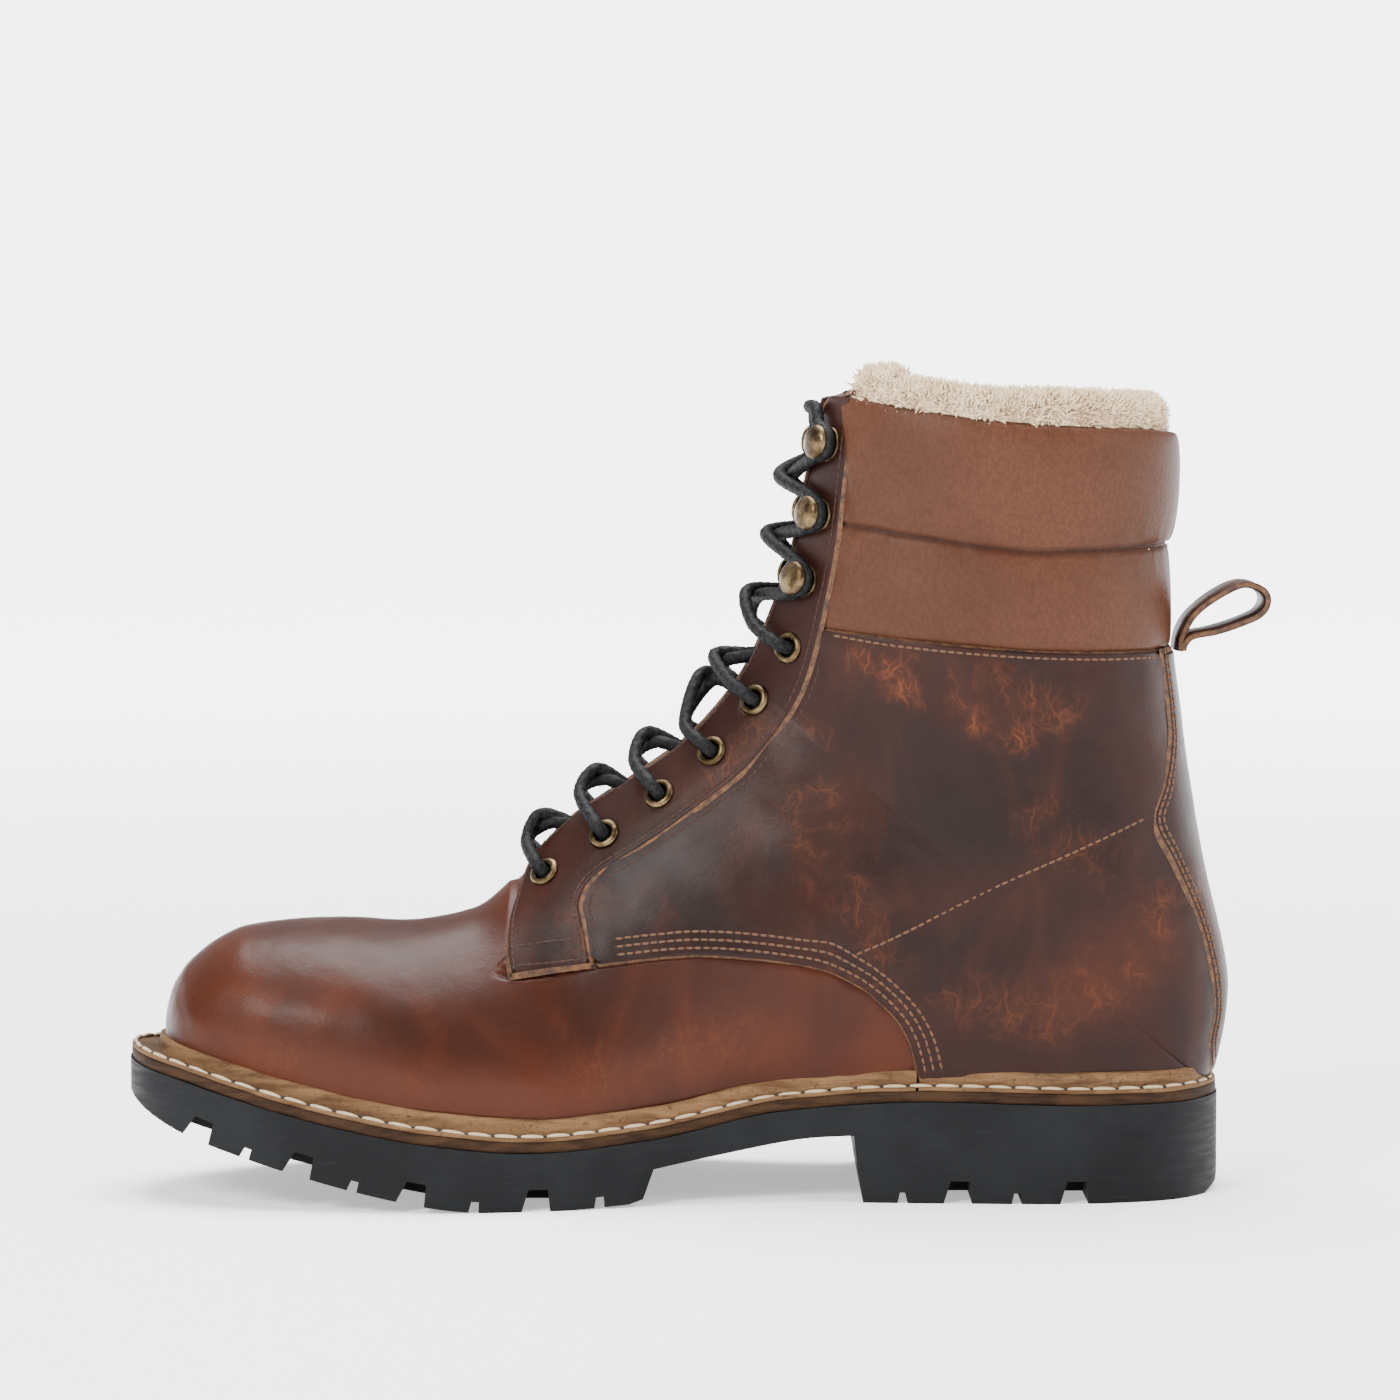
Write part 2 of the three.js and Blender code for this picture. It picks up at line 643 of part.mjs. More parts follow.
// The solid inside the sections with their half axes shortened by depth(point). Deep layers don't fold at the ridge.
function shortened(depth, rows) {
  return skin(rows.map((u) => RING.map((w) => {
    const point = signedPoint(u, w);
    const widest = column(u, 8);
    const middle = (first, second) => mix(column(u, first), column(u, second), widest);
    const centre = new THREE.Vector3(middle(0, 2), middle(6, 7), middle(1, 3));
    const chord = new THREE.Vector3(column(u, 2) - column(u, 0), 0, column(u, 3) - column(u, 1));
    const length = chord.length();
    chord.divideScalar(length);
    const offset = point.clone().sub(centre);
    const along = offset.dot(chord);
    const reach = length * (along < 0 ? widest : 1 - widest);
    const inwards = -depth(point);
    point.addScaledVector(chord, -along * inwards / reach);
    point.y -= offset.y * inwards / column(u, 4);
    return point;
  })));
}

function tongueLayer(from, to) {
  const rows = ROWS.filter((u) => u > 6);
  const front = shortened(tongueDepth(from), [...rows, 20, 20.6]);
  const layer = front.subtract(shortened(tongueDepth(to), [...rows, 20.2, 21]));
  const base = inwardPoint(TONGUE_BASE_STATION, 40);
  const crest = inwardPoint(TONGUE_BASE_STATION, -10);
  const toeward = prismAlongY([crest, base, [base[0], -10], [-FAR, -10], [-FAR, 200]], -FAR, FAR);
  const strip = channel((u) => mix(13, 21, ramp(8, 12, u)), 34);
  return layer.intersect(strip).subtract(toeward).subtract(box([-FAR, -FAR, TONGUE_TOP], [FAR, FAR, FAR]));
}

// ---------------------------------------------------------------- metalwork and laces

const EYELET_HOLE = 3.35;
const SHANK_HOLE = 2.2;
const SEGMENTS = 8;

// A turned piece standing on the eyestay at side-view point (x, z).
function stud(profile, x, z, side) {
  const { u, v } = locate(x, z);
  const w = v * side;
  const geometry = new THREE.LatheGeometry(profile.map(([r, h]) => new THREE.Vector2(r, h)), SEGMENTS);
  const turn = new THREE.Quaternion().setFromUnitVectors(new THREE.Vector3(0, 1, 0), faceNormal(u, w));
  geometry.applyQuaternion(turn);
  const foot = signedPoint(u, w);
  geometry.translate(foot.x, foot.y, foot.z);
  return toSolid(geometry);
}

function makeEyelet(index, side) {
  const profile = [[2.6, -2.2], [3.0, -2.2], [3.0, 0.4], [4.4, 0.4], [4.2, 1.0], [2.6, 1.0], [2.6, -2.2]];
  return stud(profile, ...EYELETS[index], side);
}

function makeHook(index, side) {
  const profile = [[0, -2.9], [1.8, -2.9], [1.8, 0.4], [4.9, 0.4], [4.9, 0.9], [1.6, 1.1], [1.6, 4.8],
    [5, 5.0], [4.2, 6.4], [0, 7.3]];
  return stud(profile, ...HOOKS[index], side);
}

// One half of the lace, from the middle of the bottom bar up to its tucked end, as points on the upper.
function laceRoute(side) {
  const spots = EYELETS.map(([x, z]) => locate(x, z));
  const across = (u, y, height) => lifted(u, angleAcross(u, y), height);
  const route = [];
  let hand = side;
  spots.forEach(({ u, v }, i) => {
    const hole = Math.abs(signedPoint(u, v).y);
    const edge = throatHalfWidth(u);
    if (i === 0) {
      route.push(across(u - 0.05, 0, UNDER_EYESTAY), across(u, hand * (hole - 5), UNDER_EYESTAY));
    }
    route.push(lifted(u, hand * v, -3.3), lifted(u, hand * v, 1.9));
    route.push(across(u, hand * (hole - 1.9), 3.9), across(u + 0.05, hand * (edge + 1), 4.3));
    const next = i + 1 < spots.length ? spots[i + 1].u : locate(...HOOKS[0]).u;
    const rise = (i % 2 === 0) === (side < 0) ? 5.6 : 2.0;
    route.push(across(mix(u, next, 0.45), 0, rise));
    hand = -hand;
    if (i + 1 < spots.length) {
      const upper = Math.abs(signedPoint(next, spots[i + 1].v).y);
      const brink = throatHalfWidth(next);
      route.push(across(mix(u, next, 0.72), hand * brink * 0.4, -3.2));
      route.push(across(mix(u, next, 0.88), hand * (brink - 0.5), UNDER_EYESTAY - 0.4));
      route.push(across(next, hand * (upper - 2.4), UNDER_EYESTAY));
    }
  });
  HOOKS.forEach((place, i) => {
    const turn = [[-5, -3], [-3, 1.9], [0, 3.6], [3, 1.9], [5, -3]];
    route.push(...turn.map(([up, back]) => besideStud(place, hand, up, back, HOOK_LACE_HEIGHT)));
    if (i + 1 < HOOKS.length) {
      const middle = mix(locate(...place).u, locate(...HOOKS[i + 1]).u, 0.5);
      const rise = (i % 2 === 0) === (side < 0) ? 6.0 : 2.4;
      route.push(across(middle, 0, rise));
      hand = -hand;
    }
  });
  return [...route, ...tuckedEnd(hand)];
}

const HOOK_LACE_HEIGHT = 3.0;

// A point beside the stud at side-view point `place`: up the boot, back from the throat, and off the face.
function besideStud(place, hand, up, back, height) {
  const { u, v } = locate(...place);
  const normal = faceNormal(u, hand * v);
  const upwards = signedPoint(u + 0.1, hand * v).sub(signedPoint(u - 0.1, hand * v));
  upwards.addScaledVector(normal, -upwards.dot(normal)).normalize();
  const backwards = normal.clone().cross(upwards).multiplyScalar(hand);
  return signedPoint(u, hand * v).addScaledVector(upwards, up).addScaledVector(backwards, back)
    .addScaledVector(normal, height);
}

// The end goes over the front edge above the top hook and down behind the eyestay.
function tuckedEnd(hand) {
  const { u } = locate(...HOOKS[HOOKS.length - 1]);
  const turns = [
    [0.26, 4.5, 2.8], [0.27, 0.5, 2.6], [0.25, -2.4, 0], [0.18, -1.2, -3.6], [0.05, 2, UNDER_EYESTAY],
    [-0.4, 3.5, UNDER_EYESTAY], [-0.9, 3.5, UNDER_EYESTAY], [-1.4, 3.5, UNDER_EYESTAY],
  ];
  return turns.map(([up, back, height]) => {
    const y = hand * (throatHalfWidth(u + up) + back);
    return lifted(u + up, angleAcross(u + up, y), height);
  });
}

function sweep(path, radius) {
  let normal = null;
  const rings = path.map((point, i) => {
    const ahead = path[Math.min(path.length - 1, i + 1)].clone().sub(path[Math.max(0, i - 1)]).normalize();
    normal = normal ?? new THREE.Vector3(0, 0, 1);
    normal = normal.clone().addScaledVector(ahead, -normal.dot(ahead)).normalize();
    const across = ahead.clone().cross(normal);
    return Array.from({ length: 6 }, (_, k) => {
      const angle = k * Math.PI / 3;
      return point.clone().addScaledVector(normal, radius * Math.cos(angle))
        .addScaledVector(across, radius * Math.sin(angle));
    });
  });
  return skin(rings);
}

function makeLace() {
  const [inner, outer] = [-1, 1].map(laceRoute);
  return sweep([...inner.reverse(), ...outer.slice(1)], LACE_RADIUS);
}

// ---------------------------------------------------------------- pull loop

const LOOP_HALF_WIDTH = 10;
const LOOP_OUTSIDE = [
  [135.6, 152.8], [136.2, 158.5], [138.8, 163.4], [146.3, 170.8], [154.5, 174.6], [161, 173], [163, 168.4],
  [159.5, 163.6], [148, 159.4], [140.5, 157.6], [137.8, 155.5], [137.4, 152.8],
];
const LOOP_INSIDE = [
  [140.6, 160.2], [141.4, 162.9], [147.6, 169], [154.8, 172.4], [159.6, 171.2], [160.9, 168.6],
  [158.4, 165.2], [147.6, 161.4],
];

function makePullLoop() {
  const strap = prismAlongY(smoothLine(LOOP_OUTSIDE, 26), -LOOP_HALF_WIDTH, LOOP_HALF_WIDTH);
  const eye = prismAlongY(smoothLine([...LOOP_INSIDE, LOOP_INSIDE[0]], 18).slice(0, -1), -FAR, FAR);
  return strap.subtract(eye);
}

// ---------------------------------------------------------------- materials and assembly

function material(color, roughness, metalness = 0) {
  return new THREE.MeshStandardMaterial({ color, roughness, metalness });
}

const rubber = material(0x24272a, 0.75);
const tan = material(0xa98458, 0.75);
const stain = material(0x6b4a30, 0.6);
const cream = material(0xe3d3b4, 0.85);
const brown = material(0x5a3022, 0.45);
const darkBrown = material(0x45261d, 0.45);
const collarTan = material(0x96644a, 0.55);
const shearling = material(0xdfc39c, 0.95);
const foamGrey = material(0xcfcabb, 0.95);
const board = material(0xb89b72, 0.9);
const cork = material(0x9c7448, 0.95);
const steel = material(0x9da1a4, 0.35, 1);
const brass = material(0x8d7650, 0.4, 1);
const black = material(0x16181a, 0.8);

const boot = new THREE.Group();
boot.name = "boot";

function place(name, solid, finish) {
  const mesh = new THREE.Mesh(toGeometry(largest(solid)), finish);
  mesh.name = name;
  boot.add(mesh);
}

const SIDES = [[-1, "inner"], [1, "outer"]];

place("outsole", makeOutsole(), rubber);
place("midsole", makeMidsole(), stain);
const welt = makeWelt();
const heelSide = box([WELT_JOIN, -FAR, -FAR], [FAR, FAR, FAR]);
const toeSide = box([-FAR, -FAR, -FAR], [WELT_JOIN - GAP, FAR, FAR]);
place("storm_welt", welt.intersect(toeSide), tan);
place("heel_rand", welt.intersect(heelSide), tan);
place("welt_thread", makeWeltThread(), cream);
place("cork_filler", makeCork(), cork);
place("shank", makeShank(), steel);
place("insole_board", makeInsoleBoard(), board);
place("footbed", makeFootbed(), shearling);

const upper = makeUpper();
place("vamp", makeVamp(upper), brown);
makeEyestays(upper).forEach((panel, i) => place(`eyestay_${SIDES[i][1]}`, panel, darkBrown));
makeQuarters(upper).forEach((panel, i) => place(`quarter_${SIDES[i][1]}`, panel, brown));
place("backstay", makeBackstay(upper), darkBrown);
place("toe_puff", makeToePuff(), board);
place("heel_counter", makeHeelCounter(), board);

const collar = makeCollar(collarZone());
place("collar", collar.cover, collarTan);
const upperHalf = above(COLLAR_SEAM, 0);
place("collar_foam_lower", collar.foam.subtract(upperHalf), foamGrey);
place("collar_foam_upper", collar.foam.intersect(upperHalf), foamGrey);

const lining = makeLining();
place("lining_forefoot", lining.toe, shearling);
place("lining_shaft", lining.shaft, shearling);
place("tongue", tongueLayer(0, 1.8), darkBrown);
place("tongue_lining", tongueLayer(2.1, 7), shearling);

for (const [side, label] of SIDES) {
  EYELETS.forEach((_, i) => place(`eyelet_${label}_${i + 1}`, makeEyelet(i, side), brass));
  HOOKS.forEach((_, i) => place(`hook_${label}_${i + 1}`, makeHook(i, side), brass));
}
place("lace", makeLace(), black);
place("pull_loop", makePullLoop(), darkBrown);

export default boot;
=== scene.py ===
"""The looks of a right-foot lace-up winter boot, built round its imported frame.

Every table and every shape below is in millimetres, in the frame's own axes: toe towards -X, inner side of
the foot towards -Y, +Z up. Meshes are written in metres by solid_mesh().
"""

import math

import bmesh
import bpy
import numpy as np
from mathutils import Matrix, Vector, noise
from mathutils.geometry import delaunay_2d_cdt


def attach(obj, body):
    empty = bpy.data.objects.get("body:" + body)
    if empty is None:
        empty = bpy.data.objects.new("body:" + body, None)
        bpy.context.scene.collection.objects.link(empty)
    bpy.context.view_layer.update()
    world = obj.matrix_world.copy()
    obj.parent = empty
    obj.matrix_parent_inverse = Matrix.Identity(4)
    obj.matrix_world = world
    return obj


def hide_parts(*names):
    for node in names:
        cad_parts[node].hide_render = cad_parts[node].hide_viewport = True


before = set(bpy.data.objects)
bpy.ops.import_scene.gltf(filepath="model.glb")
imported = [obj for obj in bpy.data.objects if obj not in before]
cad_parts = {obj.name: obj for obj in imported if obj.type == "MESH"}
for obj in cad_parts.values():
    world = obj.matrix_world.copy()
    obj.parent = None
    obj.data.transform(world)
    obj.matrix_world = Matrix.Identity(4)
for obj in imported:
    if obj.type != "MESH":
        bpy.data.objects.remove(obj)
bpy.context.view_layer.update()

MM = 0.001
noise.seed_set(1)       # without it, noise_vector() differs from run to run

# Wall build-up: how thick each layer is, and how deep the lining's two faces lie under the leather's face.
LEATHER = 2.0
STIFFENER = 1.2
GAP = 0.3
PILE = 5.7
LINING_FACE = LEATHER + GAP + STIFFENER + GAP
LINING_INSIDE = LINING_FACE + PILE

# How far each overlapping panel stands off the lasted face.
VAMP_LIFT = 0.0
QUARTER_LIFT = 0.9
EYESTAY_LIFT = 1.7
BACKSTAY_LIFT = 1.7

# Thickness of the midsole, and how deep the wide and the narrow cuts in the side of the sole are.
MIDSOLE = 3.3
LUG_DEPTH = 6.3
NOTCH_DEPTH = 3.0

# The lasted volume, as flat sections from the toe tip over the instep and heel to the mouth of the shaft:
# front x and z, rear x and z, half width, half width at the sole, shift at the front, shift at the sole,
# where along the section it is widest, and the roundness of its front and of its rear.
STATIONS = np.array([
    [-152.5, 40.0, -152.5, 40.0, 0.0, 0.0, -7.0, -7.0, 0.70, 2.0, 2.0],
    [-153.0, 48.0, -151.2, 39.8, 9.5, 9.0, -7.0, -7.0, 0.70, 2.0, 2.0],
    [-151.8, 56.0, -147.5, 39.0, 18.0, 17.0, -7.0, -7.0, 0.70, 2.0, 2.0],
    [-147.8, 64.0, -140.0, 37.0, 27.0, 25.8, -6.5, -6.0, 0.72, 2.0, 2.0],
    [-130.0, 75.5, -119.0, 31.3, 37.5, 36.2, -5.0, -3.8, 0.74, 2.0, 2.0],
    [-107.5, 77.6, -97.0, 26.1, 43.8, 42.5, -4.0, -2.0, 0.76, 2.0, 2.0],
    [-86.5, 76.7, -74.0, 22.2, 47.0, 46.0, -3.0, -0.5, 0.80, 1.9, 2.0],
    [-66.0, 79.7, -46.0, 19.8, 47.0, 46.2, -1.5, 2.0, 0.80, 1.8, 2.0],
    [-50.3, 92.0, -14.0, 22.2, 42.0, 41.0, 0.0, 4.0, 0.78, 1.75, 2.0],
    [-35.3, 107.5, 24.0, 29.6, 38.5, 33.5, 0.0, 3.5, 0.70, 1.75, 2.0],
    [-18.2, 119.4, 66.0, 32.2, 38.0, 34.2, 0.0, 2.0, 0.62, 1.8, 2.1],
    [-4.5, 131.0, 108.0, 31.3, 37.0, 32.5, 0.0, 0.8, 0.55, 1.85, 2.3],
    [6.5, 144.0, 137.0, 31.2, 36.5, 20.0, 0.0, 0.3, 0.50, 1.95, 2.5],
    [8.7, 147.2, 143.2, 31.2, 36.5, 11.0, 0.0, 0.0, 0.50, 1.98, 2.5],
    [10.3, 149.5, 145.2, 31.3, 36.5, 0.0, 0.0, 0.0, 0.50, 2.0, 2.5],
    [15.5, 159.0, 150.3, 58.0, 37.0, 0.0, 0.0, 0.0, 0.50, 2.0, 2.4],
    [20.3, 169.3, 142.6, 96.0, 37.5, 0.0, 0.0, 0.0, 0.50, 2.0, 2.3],
    [25.0, 182.0, 136.8, 133.0, 38.0, 0.0, 0.0, 0.0, 0.50, 2.0, 2.3],
    [29.0, 199.0, 133.3, 167.0, 39.5, 0.0, 0.0, 0.0, 0.50, 2.0, 2.3],
    [35.0, 227.5, 133.0, 217.0, 41.0, 0.0, 0.0, 0.0, 0.50, 2.0, 2.3],
])
HEEL_STATION = 14
TOP_STATION = len(STATIONS) - 1
THROAT_STATION = 7.75

# Plan outline of the sole edge, anticlockwise from the toe tip along the inner side and back on the outer.
SOLE_OUTLINE = [
    (-163.3, -7), (-158.5, -25), (-146, -38), (-125, -47), (-100, -52), (-72, -54), (-40, -49.5),
    (-5, -39.5), (30, -34.5), (70, -36.5), (108, -37), (134, -29), (146, -14), (149, 0), (146, 14),
    (134, 29.5), (108, 38.5), (70, 41), (30, 44), (-5, 50), (-40, 56), (-72, 54.5), (-100, 48.5),
    (-125, 39), (-146, 25.5), (-158.5, 11),
]

# Side-view lines of the upper, as x and z.
VAMP_EDGE = [
    (-54, 63), (-29, 66.4), (0, 69.4), (28.2, 67.1), (42.2, 62.3), (52.1, 54.7), (58, 46.5), (61.5, 34),
]
EYESTAY_FRONT = [(-54, 63), (-55.2, 70), (-54.6, 78), (-52.2, 85)]
EYESTAY_REAR = [
    (-29.2, 65.6), (-31.5, 77), (-32.6, 84), (-28.3, 90.7), (-14.1, 99.7), (0, 109.7), (14.1, 121),
    (25.4, 135.2), (32.4, 150.1), (38.9, 178.9), (42.2, 204.3), (44.6, 229),
]
COLLAR_BOTTOM = [(20, 163.3), (33, 162.2), (56, 159.6), (84, 157.1), (107, 156), (150, 156)]
COLLAR_SEAM = [(20, 194.6), (30, 193.2), (56, 188.8), (84, 184.8), (101, 184), (150, 186.5)]
COLLAR_TOP = [
    (20, 229), (30, 228), (45.4, 226.4), (56, 224), (70, 221.7), (84, 220), (101, 218.9), (150, 217),
]
BACKSTAY_EDGE = [
    (144.6, 33), (144, 44), (145.3, 52.2), (143.8, 63.8), (140.2, 78.2), (133, 94), (126.8, 107),
    (130, 118.3), (132.2, 129.8), (131.3, 141.2), (129.4, 155.6),
]
COUNTER_ROW = [(43.7, 70.6), (56.4, 76.2), (84.5, 90.4), (124.7, 108.2)]

EYELETS = [(-43.6, 90.9), (-26.8, 102.1), (-11.1, 113.5), (4.0, 125.8), (16.2, 140.6), (25.9, 155.7)]
HOOKS = [(30.7, 174.7), (35.0, 193.5), (37.8, 213.4)]
SIDES = ((-1, "inner"), (1, "outer"))


# ------------------------------------------------------------------ the lasted surface

def mix(a, b, t):
    return a + (b - a) * t


def ramp(low, high, value):
    t = np.clip((value - low) / (high - low), 0, 1)
    return t * t * (3 - 2 * t)


def gentle_slope(before, after):
    """The slope through a knot between two chords: none at a peak, and never enough to overshoot."""
    product = before * after
    total = np.where(product > 0, before + after, 1)
    return np.where(product > 0, 2 * product / total, 0)


def stations(u):
    """All columns of the station table at fractional stations u, running straight on past the last one."""
    u = np.asarray(u, float)
    held = np.clip(u, 0, TOP_STATION)
    i = np.minimum(np.floor(held).astype(int), TOP_STATION - 1)
    t = (held - i)[..., None]
    a, b, c, d = (STATIONS[np.clip(i + k, 0, TOP_STATION)] for k in (-1, 0, 1, 2))
    rise = c - b
    start, end = gentle_slope(b - a, rise), gentle_slope(rise, d - c)
    value = b + t * (start + t * (3 * rise - 2 * start - end + t * (start + end - 2 * rise)))
    past = np.maximum(u - TOP_STATION, 0)[..., None]
    return value + past * (STATIONS[-1] - STATIONS[-2]) * 0.8


def wrapped(w):
    """Angles past 1 or -1 carry on round the back on the other side."""
    w = np.asarray(w, float)
    return np.where(w > 1, w - 2, np.where(w < -1, w + 2, w))


def face_point(u, w):
    """Points of the outer face at station u and angle w: 0 on the front ridge, 1 or -1 at sole or back."""
    u, w = np.broadcast_arrays(np.asarray(u, float), wrapped(w))
    row = stations(u)
    side, v = np.where(w < 0, -1.0, 1.0), np.abs(w)
    width = np.maximum(row[..., 4], 1e-9)
    foot = np.clip(row[..., 5], 0, None) / width
    widest, power, rear = row[..., 8], row[..., 9], row[..., 10]
    front_angle = np.minimum(v, 0.5) * np.pi
    front_along = widest * (1 - np.cos(front_angle) ** (2 / power))
    front_out = np.sin(front_angle) ** (2 / power)
    reach = np.maximum(1 - np.clip(foot, 0, 1) ** rear, 1e-9) ** (1 / rear)
    last = np.arcsin(np.minimum(1, reach ** (rear / 2)))
    angle = last * (2 * np.maximum(v, 0.5) - 1)
    rear_along = widest + (1 - widest) * np.sin(angle) ** (2 / rear) / reach
    rear_out = np.maximum(np.cos(angle), 0) ** (2 / rear)
    along = np.where(v <= 0.5, front_along, rear_along)
    out = np.where(v <= 0.5, front_out, rear_out)
    shift = mix(row[..., 6], row[..., 7], along)
    x, z = mix(row[..., 0], row[..., 2], along), mix(row[..., 1], row[..., 3], along)
    return np.stack([x, shift + side * width * out, z], -1)


def face_slopes(u, w):
    """How a point moves with the station and with the angle, each per unit."""
    step = 0.02
    u = np.maximum(np.asarray(u, float), step)
    w = np.asarray(w, float)
    du = (face_point(u + step, w) - face_point(u - step, w)) / (2 * step)
    dw = (face_point(u, w + step) - face_point(u, w - step)) / (2 * step)
    return du, dw


def station_length(u, w):
    """How many mm one station is worth at a place."""
    return np.linalg.norm(face_slopes(u, w)[0], axis=-1)


def unit(vectors):
    return vectors / np.maximum(np.linalg.norm(vectors, axis=-1, keepdims=True), 1e-12)


def face_normal(u, w):
    """The outward direction."""
    inside = np.where(np.abs(w) > 1, w, np.clip(w, -0.98, 0.98))
    closed = np.asarray(u) >= HEEL_STATION
    du, dw = face_slopes(np.maximum(u, 0.05), np.where(closed, w, inside))
    normal = unit(np.cross(du, dw))
    lean = (1 - ramp(0, 0.6, np.asarray(u, float)))[..., None]
    return unit(mix(normal, np.array([-1.0, 0, 0]), lean))


def lifted(u, w, height):
    return face_point(u, w) + face_normal(u, w) * np.asarray(height, float)[..., None]


def on_face(line):
    """The points of a line that is given as stations and angles."""
    return face_point(line[:, 0], line[:, 1])


def mirrored(line):
    """A line of the outer side, carried on round the back to the inner side."""
    return np.stack([line[:, 0], 2 - line[:, 1]], -1)


def locate(points, side=1):
    """Stations and angles whose section passes through side-view points (x, z)."""
    x, z = np.array(points, float).T
    low, high = np.full(len(x), 0.5), np.full(len(x), TOP_STATION + 1.5)
    for _ in range(50):
        middle = (low + high) / 2
        row = stations(middle)
        miss = (row[:, 2] - row[:, 0]) * (z - row[:, 1]) - (row[:, 3] - row[:, 1]) * (x - row[:, 0])
        low, high = np.where(miss > 0, middle, low), np.where(miss > 0, high, middle)
    u = (low + high) / 2
    row = stations(u)
    chord = np.hypot(row[:, 2] - row[:, 0], row[:, 3] - row[:, 1])
    along = np.hypot(x - row[:, 0], z - row[:, 1]) / chord
    widest, power, rear = row[:, 8], row[:, 9], row[:, 10]
    front = np.arccos(np.clip(1 - along / widest, 0, 1) ** (power / 2)) / np.pi
    foot = np.clip(row[:, 5] / row[:, 4], 0, 1)
    reach = np.maximum(1 - foot ** rear, 1e-9) ** (1 / rear)
    last = np.arcsin(np.minimum(1, reach ** (rear / 2)))
    share = np.clip((along - widest) / (1 - widest), 0, 1) * reach
    back = (np.arcsin(np.clip(share, 0, 1) ** (rear / 2)) / last + 1) / 2
    v = np.where(along <= widest, front, np.clip(back, 0, 1))
    return np.stack([u, side * v], -1)


def angle_across(u, across):
    """The angle at which the front half of section u is `across` wide of the middle."""
    row = stations(u)
    share = np.minimum(1, np.abs(across) / row[..., 4])
    return np.sign(across) * np.arcsin(share ** (row[..., 9] / 2)) / np.pi


def throat_half_width(u):
    return mix(0.15, 8.5, ramp(THROAT_STATION - 1.2, THROAT_STATION + 5, u))


# ------------------------------------------------------------------ curves

def smooth_line(points, count):
    """A smooth line through points of any dimension, with `count` even steps."""
    points = np.array(points, float)
    ends = [2 * points[0] - points[1], *points, 2 * points[-1] - points[-2]]
    dense = []
    for a, b, c, d in zip(ends, ends[1:], ends[2:], ends[3:]):
        for t in np.linspace(0, 1, 24, endpoint=False):
            dense.append(0.5 * (2 * b + t * (c - a) + t * t * (2 * a - 5 * b + 4 * c - d)
                                + t ** 3 * (3 * b - a - 3 * c + d)))
    dense.append(points[-1])
    return even(np.array(dense), count)


def travelled(points):
    """How far along a line each of its points lies."""
    return np.concatenate([[0], np.cumsum(np.linalg.norm(np.diff(points, axis=0), axis=1))])


def resampled(points, values, count):
    """The values that go with a line's points, at `count` even steps along it."""
    length = travelled(points)
    wanted = np.linspace(0, length[-1], count + 1)
    return np.stack([np.interp(wanted, length, column) for column in values.T], -1)


def even(points, count):
    """The same line with `count` even steps."""
    return resampled(points, points, count)


def along_face(uw, step):
    """A line on the face, given as stations and angles, resampled to steps of about `step` mm."""
    points = on_face(uw)
    return resampled(points, uw, max(2, round(travelled(points)[-1] / step)))


def moved(uw, step, closed=False):
    """A line on the face moved `step` mm to its left, as seen from outside with stations up the page."""
    points = on_face(uw)
    if closed:
        tangent = np.roll(points, -1, 0) - np.roll(points, 1, 0)
    else:
        tangent = np.gradient(points, axis=0)
    normal = face_normal(uw[:, 0], uw[:, 1])
    aside = unit(np.cross(normal, unit(tangent))) * step
    du, dw = face_slopes(uw[:, 0], uw[:, 1])
    a, b, c = (du * du).sum(-1), (du * dw).sum(-1), (dw * dw).sum(-1)
    p, q = (du * aside).sum(-1), (dw * aside).sum(-1)
    det = np.maximum(a * c - b * b, 1e-6)
    change = np.stack([(c * p - b * q) / det, (a * q - b * p) / det], -1)
    return uw + np.clip(change, -0.6, 0.6)


def side_line(points, side, step=1.2, count=160):
    """A smooth side-view line laid on one side of the face."""
    return along_face(locate(smooth_line(points, count), side), step)


def distance_to(points, line):
    """Distance of each point from the nearest point of a dense line."""
    best = np.full(len(points), 1e9)
    for chunk in np.array_split(line, max(1, len(line) // 200)):
        gap = np.linalg.norm(points[:, None, :] - chunk[None, :, :], axis=-1).min(1)
        best = np.minimum(best, gap)
    return best


def fractal(points, scale, octaves=3):
    """Smooth noise from about -1 to 1 at points in mm, with features of `scale` mm."""
    return np.array([noise.fractal(Vector(p) / scale, 1.0, 2.0, octaves) for p in points])


def jitter(points, scale, size):
    """A small push in any direction for each point, with features of `scale` mm."""
    return np.array([noise.noise_vector(Vector(p) / scale) for p in points]) * size


def turning(loop):
    """Twice the area of a flat loop, positive when it runs anticlockwise."""
    x, y = loop[:, 0], loop[:, 1]
    return (x * np.roll(y, -1) - np.roll(x, -1) * y).sum()


# ------------------------------------------------------------------ meshes

def solid_mesh(name, vertices, faces, materials, slots=None, sharp=(), smooth=True, attributes=None):
    """A mesh object from points in mm."""
    mesh = bpy.data.meshes.new(name)
    mesh.from_pydata((np.asarray(vertices, float) * MM).tolist(), [], [list(f) for f in faces])
    for material in materials:
        mesh.materials.append(material)
    if slots is not None:
        mesh.polygons.foreach_set("material_index", np.array(slots, np.int32))
    mesh.polygons.foreach_set("use_smooth", np.full(len(mesh.polygons), smooth))
    if len(sharp):
        wanted = {tuple(sorted(pair)) for pair in sharp}
        for edge in mesh.edges:
            if tuple(sorted(edge.vertices)) in wanted:
                edge.use_edge_sharp = True
    for key, values in (attributes or {}).items():
        mesh.attributes.new(key, "FLOAT", "POINT").data.foreach_set("value", np.asarray(values, np.float32))
    mesh.update()
    obj = bpy.data.objects.new(name, mesh)
    bpy.context.scene.collection.objects.link(obj)
    return obj


